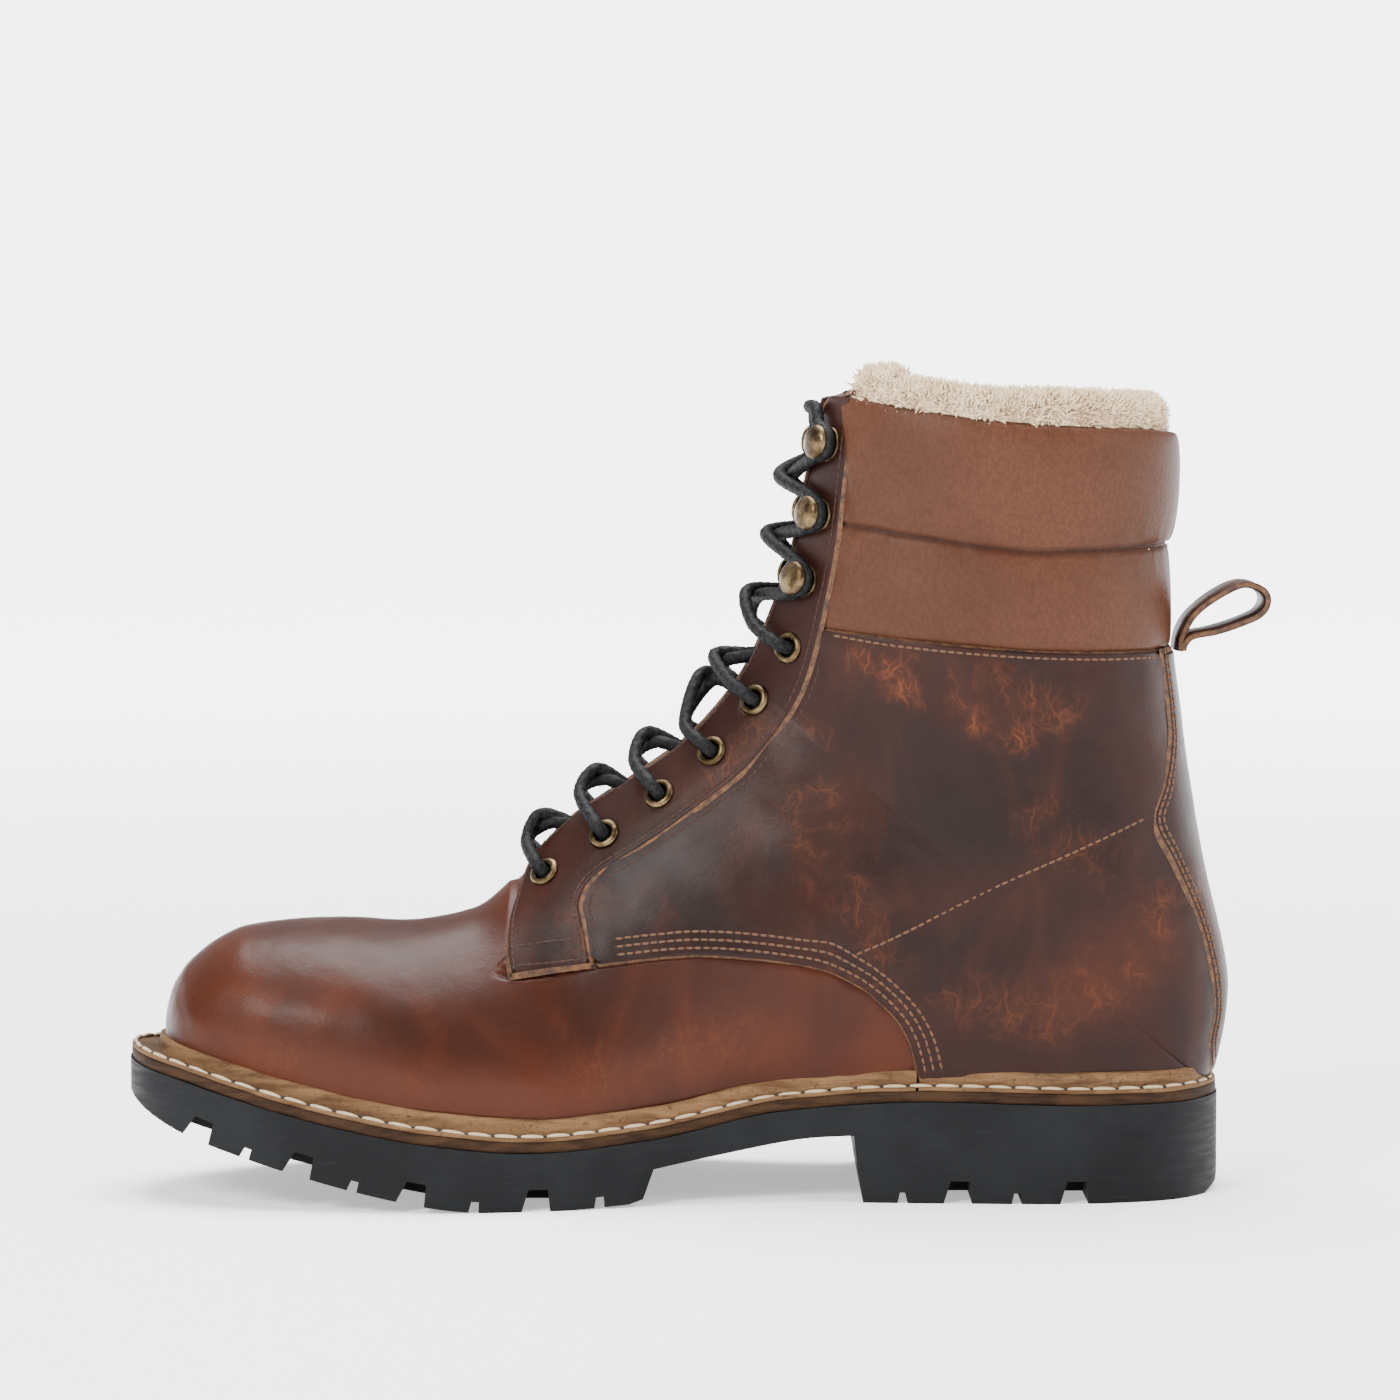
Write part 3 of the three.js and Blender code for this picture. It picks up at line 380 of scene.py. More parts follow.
def grid_faces(rows, columns, closed_rows=False, closed_columns=False):
    faces = []
    for i in range(rows if closed_rows else rows - 1):
        for j in range(columns if closed_columns else columns - 1):
            k, m = (i + 1) % rows, (j + 1) % columns
            faces.append((i * columns + j, i * columns + m, k * columns + m, k * columns + j))
    return faces


def copies(faces, count, per):
    """The faces of one small mesh with `per` points, repeated for `count` of them."""
    return [tuple(i + k * per for i in face) for k in range(count) for face in faces]


def weld(obj, distance=1e-6):
    bm = bmesh.new()
    bm.from_mesh(obj.data)
    bmesh.ops.remove_doubles(bm, verts=bm.verts, dist=distance)
    bmesh.ops.recalc_face_normals(bm, faces=bm.faces)
    bm.to_mesh(obj.data)
    bm.free()
    return obj


def softened(obj, name, width, angle):
    """Rounds the arrises that are sharper than the angle."""
    bevel = obj.modifiers.new(name, "BEVEL")
    bevel.width = width * MM
    bevel.segments = 2
    bevel.limit_method = "ANGLE"
    bevel.angle_limit = angle


def piece(obj, body, replaces=()):
    """Rides the object on a body, and lets it stand for CAD nodes."""
    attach(obj, body)
    if replaces:
        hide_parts(*replaces)
    return obj


def inside(points, loop):
    """Which 2-D points lie inside the closed loop."""
    x, y = points[:, 0], points[:, 1]
    result = np.zeros(len(points), bool)
    for (ax, ay), (bx, by) in zip(loop, np.roll(loop, -1, 0)):
        crosses = (ay > y) != (by > y)
        if ay != by:
            result ^= crosses & (x < (bx - ax) * (y - ay) / (by - ay) + ax)
    return result


# About how many mm one station and one unit of angle are worth.
CHART = np.array([22.0, 105.0])

# How a panel's arris is rounded: distance in from the bevel, and how far below the panel's face.
ARRIS = ((0, -0.32), (0.3, -0.08), (0.75, 0.0))

# How far in from the bevel a panel's loose inner points start.
FILL_MARGIN = 1.5


def hole_loop(place, side, radius, count=20):
    """A round hole in the face, as stations and angles."""
    centre = locate([place], side)[0]
    du, dw = face_slopes(centre[:1], centre[1:])
    along = unit(du)[0]
    across = np.cross(face_normal(centre[:1], centre[1:])[0], along)
    turns = np.linspace(0, 2 * np.pi, count, endpoint=False)
    wanted = radius * (np.cos(turns)[:, None] * along + np.sin(turns)[:, None] * across)
    basis = np.stack([du[0], dw[0]], -1)
    change = np.linalg.lstsq(basis, wanted.T, rcond=None)[0].T
    return centre + change


def oriented(loop, sign):
    """The loop turned anticlockwise (sign 1) or clockwise (-1) in the chart."""
    return loop if turning(loop) * sign > 0 else loop[::-1]


def within(points, loops):
    """Which 2-D points lie inside the first loop and outside the others, which are its holes."""
    keep = inside(points, loops[0])
    for hole in loops[1:]:
        keep &= ~inside(points, hole)
    return keep


def panel(name, loop, lift, foot, bevel, materials, holes=(), spacing=1.7, relief=None, attributes=None):
    """A leather panel: a closed loop on the face, raised by lift, with slanted raw edges and rounded arrises.

    foot(points) is the height of its underside. relief(points) gives extra height; attributes(points) gives
    named values for the material."""
    rims = [oriented(loop, 1), *[oriented(hole, -1) for hole in holes]]
    rounding = [(bevel + inset, drop) for inset, drop in ARRIS]
    chart, height, edges = [], [], []
    rim_of = []
    for rim in rims:
        first = len(chart)
        for k, (inset, drop) in enumerate(rounding):
            ring = moved(rim, inset, closed=True)
            start = len(chart)
            chart.extend(ring)
            height.extend([drop] * len(ring))
            edges.extend((start + i, start + (i + 1) % len(ring)) for i in range(len(ring)))
            if k == 0:
                rim_of.append((first, len(ring), rim))
    inner_loops = [moved(rim, bevel + FILL_MARGIN, closed=True) * CHART for rim in rims]
    low, high = (loop * CHART).min(0), (loop * CHART).max(0)
    ticks = [np.arange(low[k], high[k], spacing) for k in (0, 1)]
    steps = np.stack(np.meshgrid(*ticks), -1)
    steps[1::2, :, 0] += spacing / 2
    fill = steps.reshape(-1, 2)
    fill = fill[within(fill, inner_loops)]
    chart = np.vstack([np.array(chart), fill / CHART])
    height = np.concatenate([height, np.zeros(len(fill))])
    flat = [Vector(p) for p in chart * CHART]
    found = delaunay_2d_cdt(flat, edges, [], 0, 1e-7, True)
    coords = np.array([[p.x, p.y] for p in found[0]])
    source = [origin[0] if origin else -1 for origin in found[3]]
    triangles = np.array(found[2])
    middle = coords[triangles].mean(1)
    top_loops = [moved(rim, bevel, closed=True) * CHART for rim in rims]
    triangles = np.array(source)[triangles[within(middle, top_loops)]]
    triangles = triangles[(triangles >= 0).all(1)]
    base = on_face(chart)
    normal = face_normal(chart[:, 0], chart[:, 1])
    extra = relief(base) if relief else 0
    top = base + normal * (lift + height + extra)[:, None]
    below = base + normal * foot(base)[:, None]
    for first, count, rim in rim_of:
        ground = on_face(rim)
        below[first:first + count] = ground + face_normal(rim[:, 0], rim[:, 1]) * foot(ground)[:, None]
    total = len(chart)
    a, b, c = top[triangles[:, 0]], top[triangles[:, 1]], top[triangles[:, 2]]
    facing = (np.cross(b - a, c - a) * normal[triangles[:, 0]]).sum(-1)
    triangles[facing < 0] = triangles[facing < 0][:, ::-1]
    faces = [tuple(t) for t in triangles]
    slots = [0] * len(faces)
    faces += [tuple(t[::-1] + total) for t in triangles]
    slots += [2] * len(triangles)
    sharp = []
    for first, count, _ in rim_of:
        for i in range(count):
            p, q = first + i, first + (i + 1) % count
            faces.append((q, p, p + total, q + total))
            slots.append(1)
            sharp += [(p, q), (p + total, q + total)]
    used = np.unique(np.concatenate([np.array(f) for f in faces]))
    index = np.full(2 * total, -1)
    index[used] = np.arange(len(used))
    points = np.vstack([top, below])[used]
    values = attributes(np.vstack([base, base])[used]) if attributes else None
    return solid_mesh(
        name, points, [tuple(index[list(f)]) for f in faces], materials, slots,
        [tuple(index[list(pair)]) for pair in sharp], attributes=values,
    )


# ------------------------------------------------------------------ materials

def shader(name, build):
    """A material whose node tree is filled by build(tree, principled)."""
    material = bpy.data.materials.new(name)
    material.use_nodes = True
    tree = material.node_tree
    build(tree, tree.nodes["Principled BSDF"])
    return material


def dress(node, **inputs):
    """Sets a node's inputs: a socket is linked and anything else is a value. in_3 names an input by place."""
    for key, value in inputs.items():
        socket = node.inputs[int(key[3:]) if key.startswith("in_") else key.replace("_", " ")]
        if isinstance(value, bpy.types.NodeSocket):
            node.id_data.links.new(value, socket)
        else:
            socket.default_value = value
    return node


def put(tree, kind, settings=None, **inputs):
    """A new node with its settings and inputs."""
    node = tree.nodes.new(kind)
    for key, value in (settings or {}).items():
        setattr(node, key, value)
    return dress(node, **inputs)


def place_of(tree, stretch=(1, 1, 1), turn=(0, 0, 0)):
    """Object coordinates, stretched and turned."""
    place = put(tree, "ShaderNodeTexCoord").outputs["Object"]
    return put(tree, "ShaderNodeMapping", Vector=place, Scale=stretch, Rotation=turn).outputs[0]


def cloud(tree, place, scale, detail=4.0, rough=0.55, warp=0.0):
    return put(
        tree, "ShaderNodeTexNoise",
        Vector=place, Scale=scale, Detail=detail, Roughness=rough, Distortion=warp,
    ).outputs[0]


def cells(tree, place, scale, feature="F1"):
    return put(tree, "ShaderNodeTexVoronoi", {"feature": feature}, Vector=place, Scale=scale).outputs[0]


def banded(tree, value, low, high, start=0.0, end=1.0):
    """A soft step from start to end while the value goes from low to high."""
    return put(
        tree, "ShaderNodeMapRange", {"clamp": True, "interpolation_type": "SMOOTHSTEP"},
        Value=value, From_Min=low, From_Max=high, To_Min=start, To_Max=end,
    ).outputs[0]


def maths(tree, operation, a, b=0.5, c=0.0):
    return put(tree, "ShaderNodeMath", {"operation": operation}, in_0=a, in_1=b, in_2=c).outputs[0]


def tinted(tree, amount, a, b):
    """Colour a, with colour b laid over it by amount."""
    a, b = (c if isinstance(c, bpy.types.NodeSocket) else (*c, 1.0) for c in (a, b))
    return put(tree, "ShaderNodeMix", {"data_type": "RGBA"}, in_0=amount, in_6=a, in_7=b).outputs[2]


def attribute(tree, name):
    return put(tree, "ShaderNodeAttribute", {"attribute_name": name}).outputs["Fac"]


def bumped(tree, surface, layers):
    """Bump from several (height, strength, distance in mm) layers."""
    below = {}
    for height, strength, distance in layers:
        node = put(tree, "ShaderNodeBump", Height=height, Strength=strength, Distance=distance * MM, **below)
        below = {"Normal": node.outputs[0]}
    dress(surface, **below)


def pull_up_leather(name, deep, middle, warm, glow, gloss=0.40):
    """Oiled pull-up leather: cloudy colour, fine grain, and lighter creases where it has been pulled."""
    def build(tree, surface):
        here = place_of(tree)
        base = tinted(tree, banded(tree, cloud(tree, here, 15, 3, 0.5, 0.4), 0.36, 0.64), deep, middle)
        streaks = cloud(tree, place_of(tree, (1, 1, 0.45), (0, 0.5, 0)), 46, 6, 0.62, 0.9)
        base = tinted(tree, banded(tree, streaks, 0.47, 0.74, 0, 0.34), base, warm)
        # The tone attribute warms the colour above 0.5 and darkens it below; on the vamp it also carries
        # painted shade.
        tone = attribute(tree, "tone")
        base = tinted(tree, banded(tree, tone, 0.5, 1.0, 0.0, 0.85), base, warm)
        base = tinted(tree, banded(tree, tone, 0.5, 0.0, 0.0, 0.75), base, deep)
        push = put(tree, "ShaderNodeTexNoise", Vector=here, Scale=90.0, Detail=3.0).outputs[1]
        warped = put(
            tree, "ShaderNodeVectorMath", {"operation": "MULTIPLY_ADD"},
            in_0=push, in_1=(0.016, 0.016, 0.016), in_2=place_of(tree, (1, 1, 0.5), (0, 0.55, 0)),
        ).outputs[0]
        wide = banded(tree, cells(tree, warped, 105.0, "DISTANCE_TO_EDGE"), 0.075, 0.0)
        fine = banded(tree, cells(tree, warped, 260.0, "DISTANCE_TO_EDGE"), 0.09, 0.0, 0, 0.6)
        lines = maths(tree, "MAXIMUM", wide, fine)
        patchy = banded(tree, cloud(tree, here, 38, 4, 0.6, 0.5), 0.40, 0.62)
        pull = maths(tree, "MULTIPLY", attribute(tree, "pull"), patchy)
        glow_share = maths(tree, "MULTIPLY", pull, maths(tree, "MULTIPLY_ADD", lines, 0.75, 0.22))
        base = tinted(tree, glow_share, base, glow)
        pores = cells(tree, here, 1150.0)
        base = tinted(tree, banded(tree, pores, 0.42, 0.1, 0, 0.25), base, deep)
        rough = maths(tree, "MULTIPLY_ADD", cloud(tree, here, 70, 4), 0.22, gloss - 0.10)
        rough = maths(tree, "MULTIPLY_ADD", glow_share, 0.18, rough)
        dress(surface, Base_Color=base, Roughness=rough, Specular_IOR_Level=0.13)
        creases = maths(tree, "MULTIPLY", lines, pull)
        bumped(tree, surface, [
            (cloud(tree, here, 260, 5, 0.6), 0.25, 0.35), (pores, 0.22, 0.12), (creases, 0.5, -0.35),
        ])
    return shader(name, build)


def soft_leather(tree, surface):
    """Smooth garment leather with a fine pebble grain."""
    here = place_of(tree)
    blotches = banded(tree, cloud(tree, here, 22, 4), 0.35, 0.65)
    base = tinted(tree, blotches, (0.052, 0.0185, 0.0086), (0.068, 0.0255, 0.0125))
    pores = cells(tree, place_of(tree, (1, 1, 0.7)), 950.0)
    base = tinted(tree, banded(tree, pores, 0.30, 0.75, 0, 0.35), base, (0.034, 0.0110, 0.0052))
    # Painted shade: darker where the tone attribute falls below 0.5, along the collar's pinched seam and its
    # turned-in rows.
    base = tinted(tree, banded(tree, attribute(tree, "tone"), 0.5, 0.0, 0, 0.8), base, (0.030, 0.010, 0.006))
    dress(surface, Base_Color=base, Roughness=0.46, Specular_IOR_Level=0.12)
    bumped(tree, surface, [(cloud(tree, here, 330, 4), 0.2, 0.3), (pores, 0.45, -0.16)])


def fleece(tree, surface):
    """Shearling: warm cream curls, with painted shade between them."""
    here = place_of(tree)
    curls = banded(tree, cloud(tree, here, 120, 5, 0.6), 0.3, 0.7)
    base = tinted(tree, curls, (0.64, 0.44, 0.25), (0.92, 0.74, 0.50))
    base = tinted(tree, banded(tree, attribute(tree, "tone"), 0.5, 0.0, 0, 0.7), base, (0.42, 0.25, 0.13))
    dress(surface, Base_Color=base, Roughness=0.95, Sheen_Weight=0.5)
    dress(surface, Subsurface_Weight=0.12, Subsurface_Radius=(0.003, 0.002, 0.001))
    bumped(tree, surface, [(cloud(tree, here, 700, 5, 0.7), 0.8, 0.7)])


def corky_leather(light, dark, specks):
    """Welt leather: waxed tan grain with dark specks and streaks along the edge, and painted shade where the
    tone attribute is low.
    """
    def build(tree, surface):
        here = place_of(tree)
        along = place_of(tree, (0.25, 0.25, 1.6))
        base = tinted(tree, banded(tree, cloud(tree, along, 260, 6, 0.65, 0.4), 0.32, 0.66), dark, light)
        speck = banded(tree, cloud(tree, here, 620, 5, 0.7), 0.56, 0.70, 0, specks)
        base = tinted(tree, speck, base, (0.030, 0.014, 0.006))
        stain = cloud(tree, place_of(tree, (0.2, 0.2, 1.0)), 60, 5, 0.7, 0.8)
        base = tinted(tree, banded(tree, stain, 0.52, 0.72, 0, specks), base, (0.020, 0.012, 0.008))
        # Painted shade: darker where the tone attribute falls below 0.5, in the crevices of the welt.
        painted_hollow_shade = banded(tree, attribute(tree, "tone"), 0.5, 0.0, 0, 0.85)
        base = tinted(tree, painted_hollow_shade, base, (0.022, 0.012, 0.007))
        dress(surface, Base_Color=base, Roughness=0.66, Specular_IOR_Level=0.10)
        bumped(tree, surface, [
            (cloud(tree, here, 800, 5, 0.7), 0.5, 0.3), (cloud(tree, along, 420, 4), 0.35, 0.3),
        ])
    return build


def lug_rubber(tree, surface):
    """Matt black rubber, rubbed smooth along the sides."""
    here = place_of(tree)
    brushed = cloud(tree, place_of(tree, (0.06, 0.06, 1)), 900, 4, 0.7)
    bloom = banded(tree, cloud(tree, here, 30, 5), 0.3, 0.7)
    base = tinted(tree, bloom, (0.0040, 0.0043, 0.0048), (0.0078, 0.0084, 0.0092))
    base = tinted(tree, banded(tree, brushed, 0.52, 0.75, 0, 0.5), base, (0.0140, 0.0150, 0.0162))
    rough = banded(tree, brushed, 0.3, 0.7, 0.50, 0.70)
    dress(surface, Base_Color=base, Roughness=rough, Specular_IOR_Level=0.11)
    bumped(tree, surface, [(brushed, 0.25, 0.12), (cloud(tree, here, 1500, 3), 0.2, 0.08)])


def antique_brass(tree, surface):
    here = place_of(tree)
    worn = banded(tree, cloud(tree, here, 240, 5, 0.6), 0.38, 0.66)
    base = tinted(tree, worn, (0.038, 0.0245, 0.0115), (0.150, 0.104, 0.054))
    rough = banded(tree, cloud(tree, here, 500, 4), 0.3, 0.7, 0.28, 0.46)
    dress(surface, Base_Color=base, Metallic=1.0, Roughness=rough)
    bumped(tree, surface, [(cloud(tree, here, 1400, 4), 0.15, 0.05)])


def two_tone(name, dark, light, grain, band, bump, **finish):
    """A two-colour material. grain is a cloud, band cuts it, bump is a cloud with a strength and a depth."""
    def build(tree, surface):
        here = place_of(tree)
        shade = cloud(tree, here, *grain)
        if band:
            shade = banded(tree, shade, *band)
        dress(surface, Base_Color=tinted(tree, shade, dark, light), **finish)
        relief, strength, depth = bump
        bumped(tree, surface, [(cloud(tree, here, *relief), strength, depth)])
    return shader(name, build)


def thread(name, light, dark):
    twist = ((2200, 3), 0.5, 0.1)
    return two_tone(name, dark, light, (700, 4), None, twist, Roughness=0.7, Specular_IOR_Level=0.2)


def mottled(name, dark, light, scale, rough, metal=0.0, bump=0.3):
    """A plain material for what is hidden inside."""
    grain = (scale, 5, 0.65)
    relief = (grain, bump, 0.3)
    return two_tone(name, dark, light, grain, (0.35, 0.65), relief, Roughness=rough, Metallic=metal)


VAMP = pull_up_leather("vamp_leather", (0.0200, 0.0052, 0.0026), (0.050, 0.0110, 0.0040),
                       (0.068, 0.0150, 0.0048), (0.11, 0.030, 0.009), 0.38)
QUARTER = pull_up_leather("quarter_leather", (0.0085, 0.0029, 0.0020), (0.0180, 0.0048, 0.0028),
                          (0.040, 0.0094, 0.0036), (0.15, 0.041, 0.011), 0.40)
COLLAR = shader("collar_leather", soft_leather)
EDGE = two_tone("raw_edge", (0.022, 0.0075, 0.0026), (0.105, 0.042, 0.0105), (420, 5, 0.7), (0.35, 0.66),
                ((900, 4, 0.7), 0.7, 0.3), Roughness=0.8)
SUEDE = two_tone("suede", (0.07, 0.03, 0.014), (0.15, 0.075, 0.035), (160, 5), None,
                 ((1200, 3, 0.7), 0.6, 0.2), Roughness=0.95, Sheen_Weight=0.3)
FLEECE = shader("fleece", fleece)
WELT = shader("welt_leather", corky_leather((0.155, 0.086, 0.039), (0.070, 0.034, 0.0145), 0.85))
STAINED = shader("stained_midsole", corky_leather((0.036, 0.0170, 0.0070), (0.011, 0.0050, 0.0026), 0.9))
RUBBER = shader("lug_rubber", lug_rubber)
BRASS = shader("antique_brass", antique_brass)
GUNMETAL = two_tone("gunmetal", (0.012, 0.011, 0.010), (0.050, 0.044, 0.034), (300, 4), None,
                    ((900, 3), 0.15, 0.05), Roughness=0.38, Metallic=1.0)
BRAID = two_tone("waxed_braid", (0.0030, 0.0031, 0.0034), (0.017, 0.0175, 0.019), (900, 5, 0.7), (0.4, 0.75),
                 ((1800, 4, 0.7), 0.5, 0.12), Roughness=0.60, Specular_IOR_Level=0.12)
UPPER_THREAD = thread("upper_thread", (0.135, 0.065, 0.032), (0.060, 0.026, 0.013))
# A darker copy of the upper thread, for the eyestay's rows, the quarter's row beside the eyestay's edge and
# the collar's seam; on the last two it is painted shade, where they lie in the seams.
DARK_AND_SHADED_THREAD = thread("dark_and_shaded_thread", (0.045, 0.018, 0.011), (0.018, 0.007, 0.005))
WELT_THREAD = thread("welt_thread", (0.46, 0.37, 0.25), (0.28, 0.21, 0.13))
# Painted shade: dark pits set into the leather at each stitch's needle hole.
NEEDLE_HOLE_SHADE = mottled("needle_hole_shade", (0.006, 0.004, 0.003), (0.012, 0.008, 0.006), 400, 0.9)
HIDDEN = {
    "cork_filler": mottled("cork", (0.16, 0.08, 0.035), (0.42, 0.26, 0.13), 260, 0.9),
    "shank": mottled("shank_steel", (0.42, 0.43, 0.44), (0.58, 0.59, 0.60), 90, 0.35, 1.0, 0.1),
    "insole_board": mottled("fibre_board", (0.36, 0.26, 0.15), (0.48, 0.36, 0.22), 300, 0.9),
    "toe_puff": mottled("toe_puff_felt", (0.36, 0.28, 0.18), (0.46, 0.36, 0.24), 380, 0.95),
    "heel_counter": mottled("counter_board", (0.30, 0.22, 0.14), (0.42, 0.32, 0.2), 340, 0.9),
    "collar_foam_lower": mottled("lower_foam", (0.50, 0.47, 0.40), (0.66, 0.63, 0.55), 700, 0.95),
    "collar_foam_upper": mottled("upper_foam", (0.50, 0.47, 0.40), (0.66, 0.63, 0.55), 720, 0.95),
    "footbed": FLEECE,
    "lining_forefoot": FLEECE,
}
for node_name, hidden_material in HIDDEN.items():
    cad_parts[node_name].data.materials.clear()
    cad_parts[node_name].data.materials.append(hidden_material)


# ------------------------------------------------------------------ seams

def capsules(name, centres, along, normal, half_length, radius, flat, materials, sag=0.0, slots=None):
    """Many short rounded rods in one mesh: each lies along its direction and dips at both ends by sag."""
    stations_along = np.array([-1, -0.86, -0.45, 0, 0.45, 0.86, 1])
    girth = np.array([0.30, 0.80, 1, 1, 1, 0.80, 0.30])
    turns = np.linspace(0, 2 * np.pi, 8, endpoint=False)
    aside = np.cross(normal, along)
    rings = []
    for t, g in zip(stations_along, girth):
        middle = centres + along * (t * half_length) - normal * (sag * t * t)
        for angle in turns:
            out, up = radius * g * np.cos(angle), radius * flat * g * np.sin(angle)
            rings.append(middle + aside * out + normal * up)
    points = np.stack(rings, 1).reshape(-1, 3)
    per = len(stations_along) * len(turns)
    single = grid_faces(len(stations_along), len(turns), closed_columns=True)
    single += [tuple(range(len(turns)))[::-1], tuple(range(per - len(turns), per))]
    picks = None if slots is None else np.repeat(slots, len(single))
    return solid_mesh(name, points, copies(single, len(centres), per), materials, picks)


def no_waves(points):
    return np.zeros(len(points))


STITCH_PITCH = 2.4


class Row:
    """A row of machine stitches: its line on the face, its height, its thread and the leather's own waves."""
    def __init__(self, uw, lift, thread=0, pitch=STITCH_PITCH, waves=no_waves):
        self.uw, self.lift, self.thread, self.pitch, self.waves = uw, lift, thread, pitch, waves
        self.dense = on_face(along_face(uw, 1.0))


def sew(name, rows, radius=0.36):
    """All stitches of the rows as one piece, and dark pits at their needle holes, painted shade, as another.
    """
    centres, along, normal, slots, holes = [], [], [], [], []
    for row in rows:
        line = along_face(row.uw, row.pitch)
        waves = row.waves(on_face(line))
        points = lifted(line[:, 0], line[:, 1], row.lift + waves - 0.10)
        normals = face_normal(line[:, 0], line[:, 1])
        centres.append((points[:-1] + points[1:]) / 2)
        along.append(unit(points[1:] - points[:-1]))
        middle = unit(normals[:-1] + normals[1:])
        normal.append(unit(middle - along[-1] * (middle * along[-1]).sum(-1, keepdims=True)))
        slots.append(np.full(len(points) - 1, row.thread))
        holes.append((points - normals * 0.12, normals))
    centres, along, normal = np.vstack(centres), np.vstack(along), np.vstack(normal)
    turn = np.random.default_rng(4).normal(0, 0.05, (len(centres), 1))
    along = unit(along + np.cross(normal, along) * turn)
    threads = capsules(name, centres, along, normal, 0.98, radius, 0.8, [UPPER_THREAD, DARK_AND_SHADED_THREAD], 0.20,
                       np.concatenate(slots))
    points, normals = np.vstack([h[0] for h in holes]), np.vstack([h[1] for h in holes])
    side = unit(np.cross(normals, [0.3, 0.1, 1]))
    hole_shades = capsules(name + "_hole_shade", points, side, normals, 0.36, 0.34, 0.6, [NEEDLE_HOLE_SHADE])
    return threads, hole_shades


def between(uw, low, high):
    """The part of a line whose share of length lies between low and high."""
    first, last = int(low * (len(uw) - 1)), int(high * (len(uw) - 1))
    return uw[first:last + 1]


def dips(rows, depth=0.30, width=0.95):
    """How far leather sinks under its stitch rows, as a function of points."""
    def sunk(points):
        total = np.zeros(len(points))
        for row in rows:
            total = np.maximum(total, np.exp(-(distance_to(points, row.dense) / width) ** 2))
        return -depth * total
    return sunk


def near_segment(points, start, end, radius):
    """1 near a side-view segment, falling to 0 at `radius` mm."""
    a, b = np.array(start, float), np.array(end, float)
    flat = points[:, [0, 2]]
    t = np.clip(((flat - a) @ (b - a)) / ((b - a) @ (b - a)), 0, 1)
    gap = np.linalg.norm(flat - (a + t[:, None] * (b - a)), axis=1)
    return 1 - ramp(0, radius, gap)


# ------------------------------------------------------------------ the leather panels

def on_side(points, side, step=0.9):
    """A smooth side-view line as stations and angles, at even steps."""
    return side_line(points, side, step)


def shifted(line, distance, towards):
    """The line moved sideways to the side on which the side-view point `towards` lies."""
    middle = len(line) // 2
    short = line[middle - 2:middle + 3]
    side = np.sign(line[middle, 1])
    goal = face_point(*locate([towards], side)[0])
    gaps = [np.linalg.norm(face_point(*moved(short, step)[2]) - goal) for step in (0.5, -0.5)]
    return moved(line, distance if gaps[0] < gaps[1] else -distance)


def joined_loop(*lines):
    """The lines end to end as one loop, without points that crowd each other."""
    loop = np.vstack(lines)
    points = face_point(loop[:, 0], loop[:, 1])
    kept = [0]
    for k in range(1, len(loop)):
        if np.linalg.norm(points[k] - points[kept[-1]]) > 0.45:
            kept.append(k)
    if np.linalg.norm(points[kept[-1]] - points[0]) < 0.45:
        kept.pop()
    return loop[kept]


def chart_line(start, end, count=12):
    return np.linspace(start, end, count)


def leather_tone(points, patches, creases):
    """The pull and tone values of leather at its points: patches change the tone, creases glow."""
    tone = np.full(len(points), 0.5)
    for start, end, radius, amount in patches:
        tone += amount * near_segment(points, start, end, radius)
    pull = np.zeros(len(points))
    for start, end, radius, amount in creases:
        pull = np.maximum(pull, amount * near_segment(points, start, end, radius))
    return {"tone": np.clip(tone, 0, 1), "pull": np.clip(pull, 0, 1)}


ROWS_SEWN = []

# A side-view point inside each panel, towards which its stitch rows are moved in from its edges.
QUARTER_HUB = (85, 100)
STAY_HUB = (4, 125.8)
BACKSTAY_HUB = (148, 90)

# Where the leather is darker or lighter and where it is creased, from the side: start, end, radius, amount.
QUARTER_PATCHES = [
    ((105, 60), (128, 74), 26, 0.30), ((60, 86), (100, 92), 20, 0.16), ((24, 75), (44, 118), 18, 0.16),
    ((75, 42), (120, 42), 12, -0.30), ((70, 120), (120, 145), 24, -0.16),
]
QUARTER_CREASES = [
    ((46, 152), (88, 133), 8, 1.0), ((60, 150), (100, 140), 12, 0.45), ((30, 125), (44, 70), 15, 0.50),
    ((110, 62), (132, 80), 16, 0.40), ((60, 60), (98, 52), 13, 0.30), ((96, 110), (116, 96), 13, 0.35),
]
# On the vamp these carry painted shade: its top, its toe and a strip just under the quarter's edge are
# darkened, and its lower part is lightened.
VAMP_TONE_AND_SHADE = [
    ((-120, 72), (-60, 76), 20, -0.42), ((-150, 48), (-140, 64), 15, -0.30),
    ((-125, 36), (-60, 28), 24, 0.38), ((-40, 30), (20, 44), 20, 0.26), ((-50, 58), (10, 62), 9, -0.20),
]
VAMP_CREASES = [
    ((-118, 40), (-70, 36), 16, 0.22), ((-30, 38), (12, 48), 14, 0.26), ((-138, 44), (-128, 56), 10, 0.2),
]
VAMP_LEATHER = [VAMP, EDGE, SUEDE]
QUARTER_LEATHER = [QUARTER, EDGE, SUEDE]


def ripples(points, scale, height):
    return fractal(points, scale, 3) * height


def quarter_waves(points):
    return ripples(points, 26, 0.50) + ripples(points, 8, 0.14)


def stay_waves(points):
    return ripples(points, 22, 0.28)


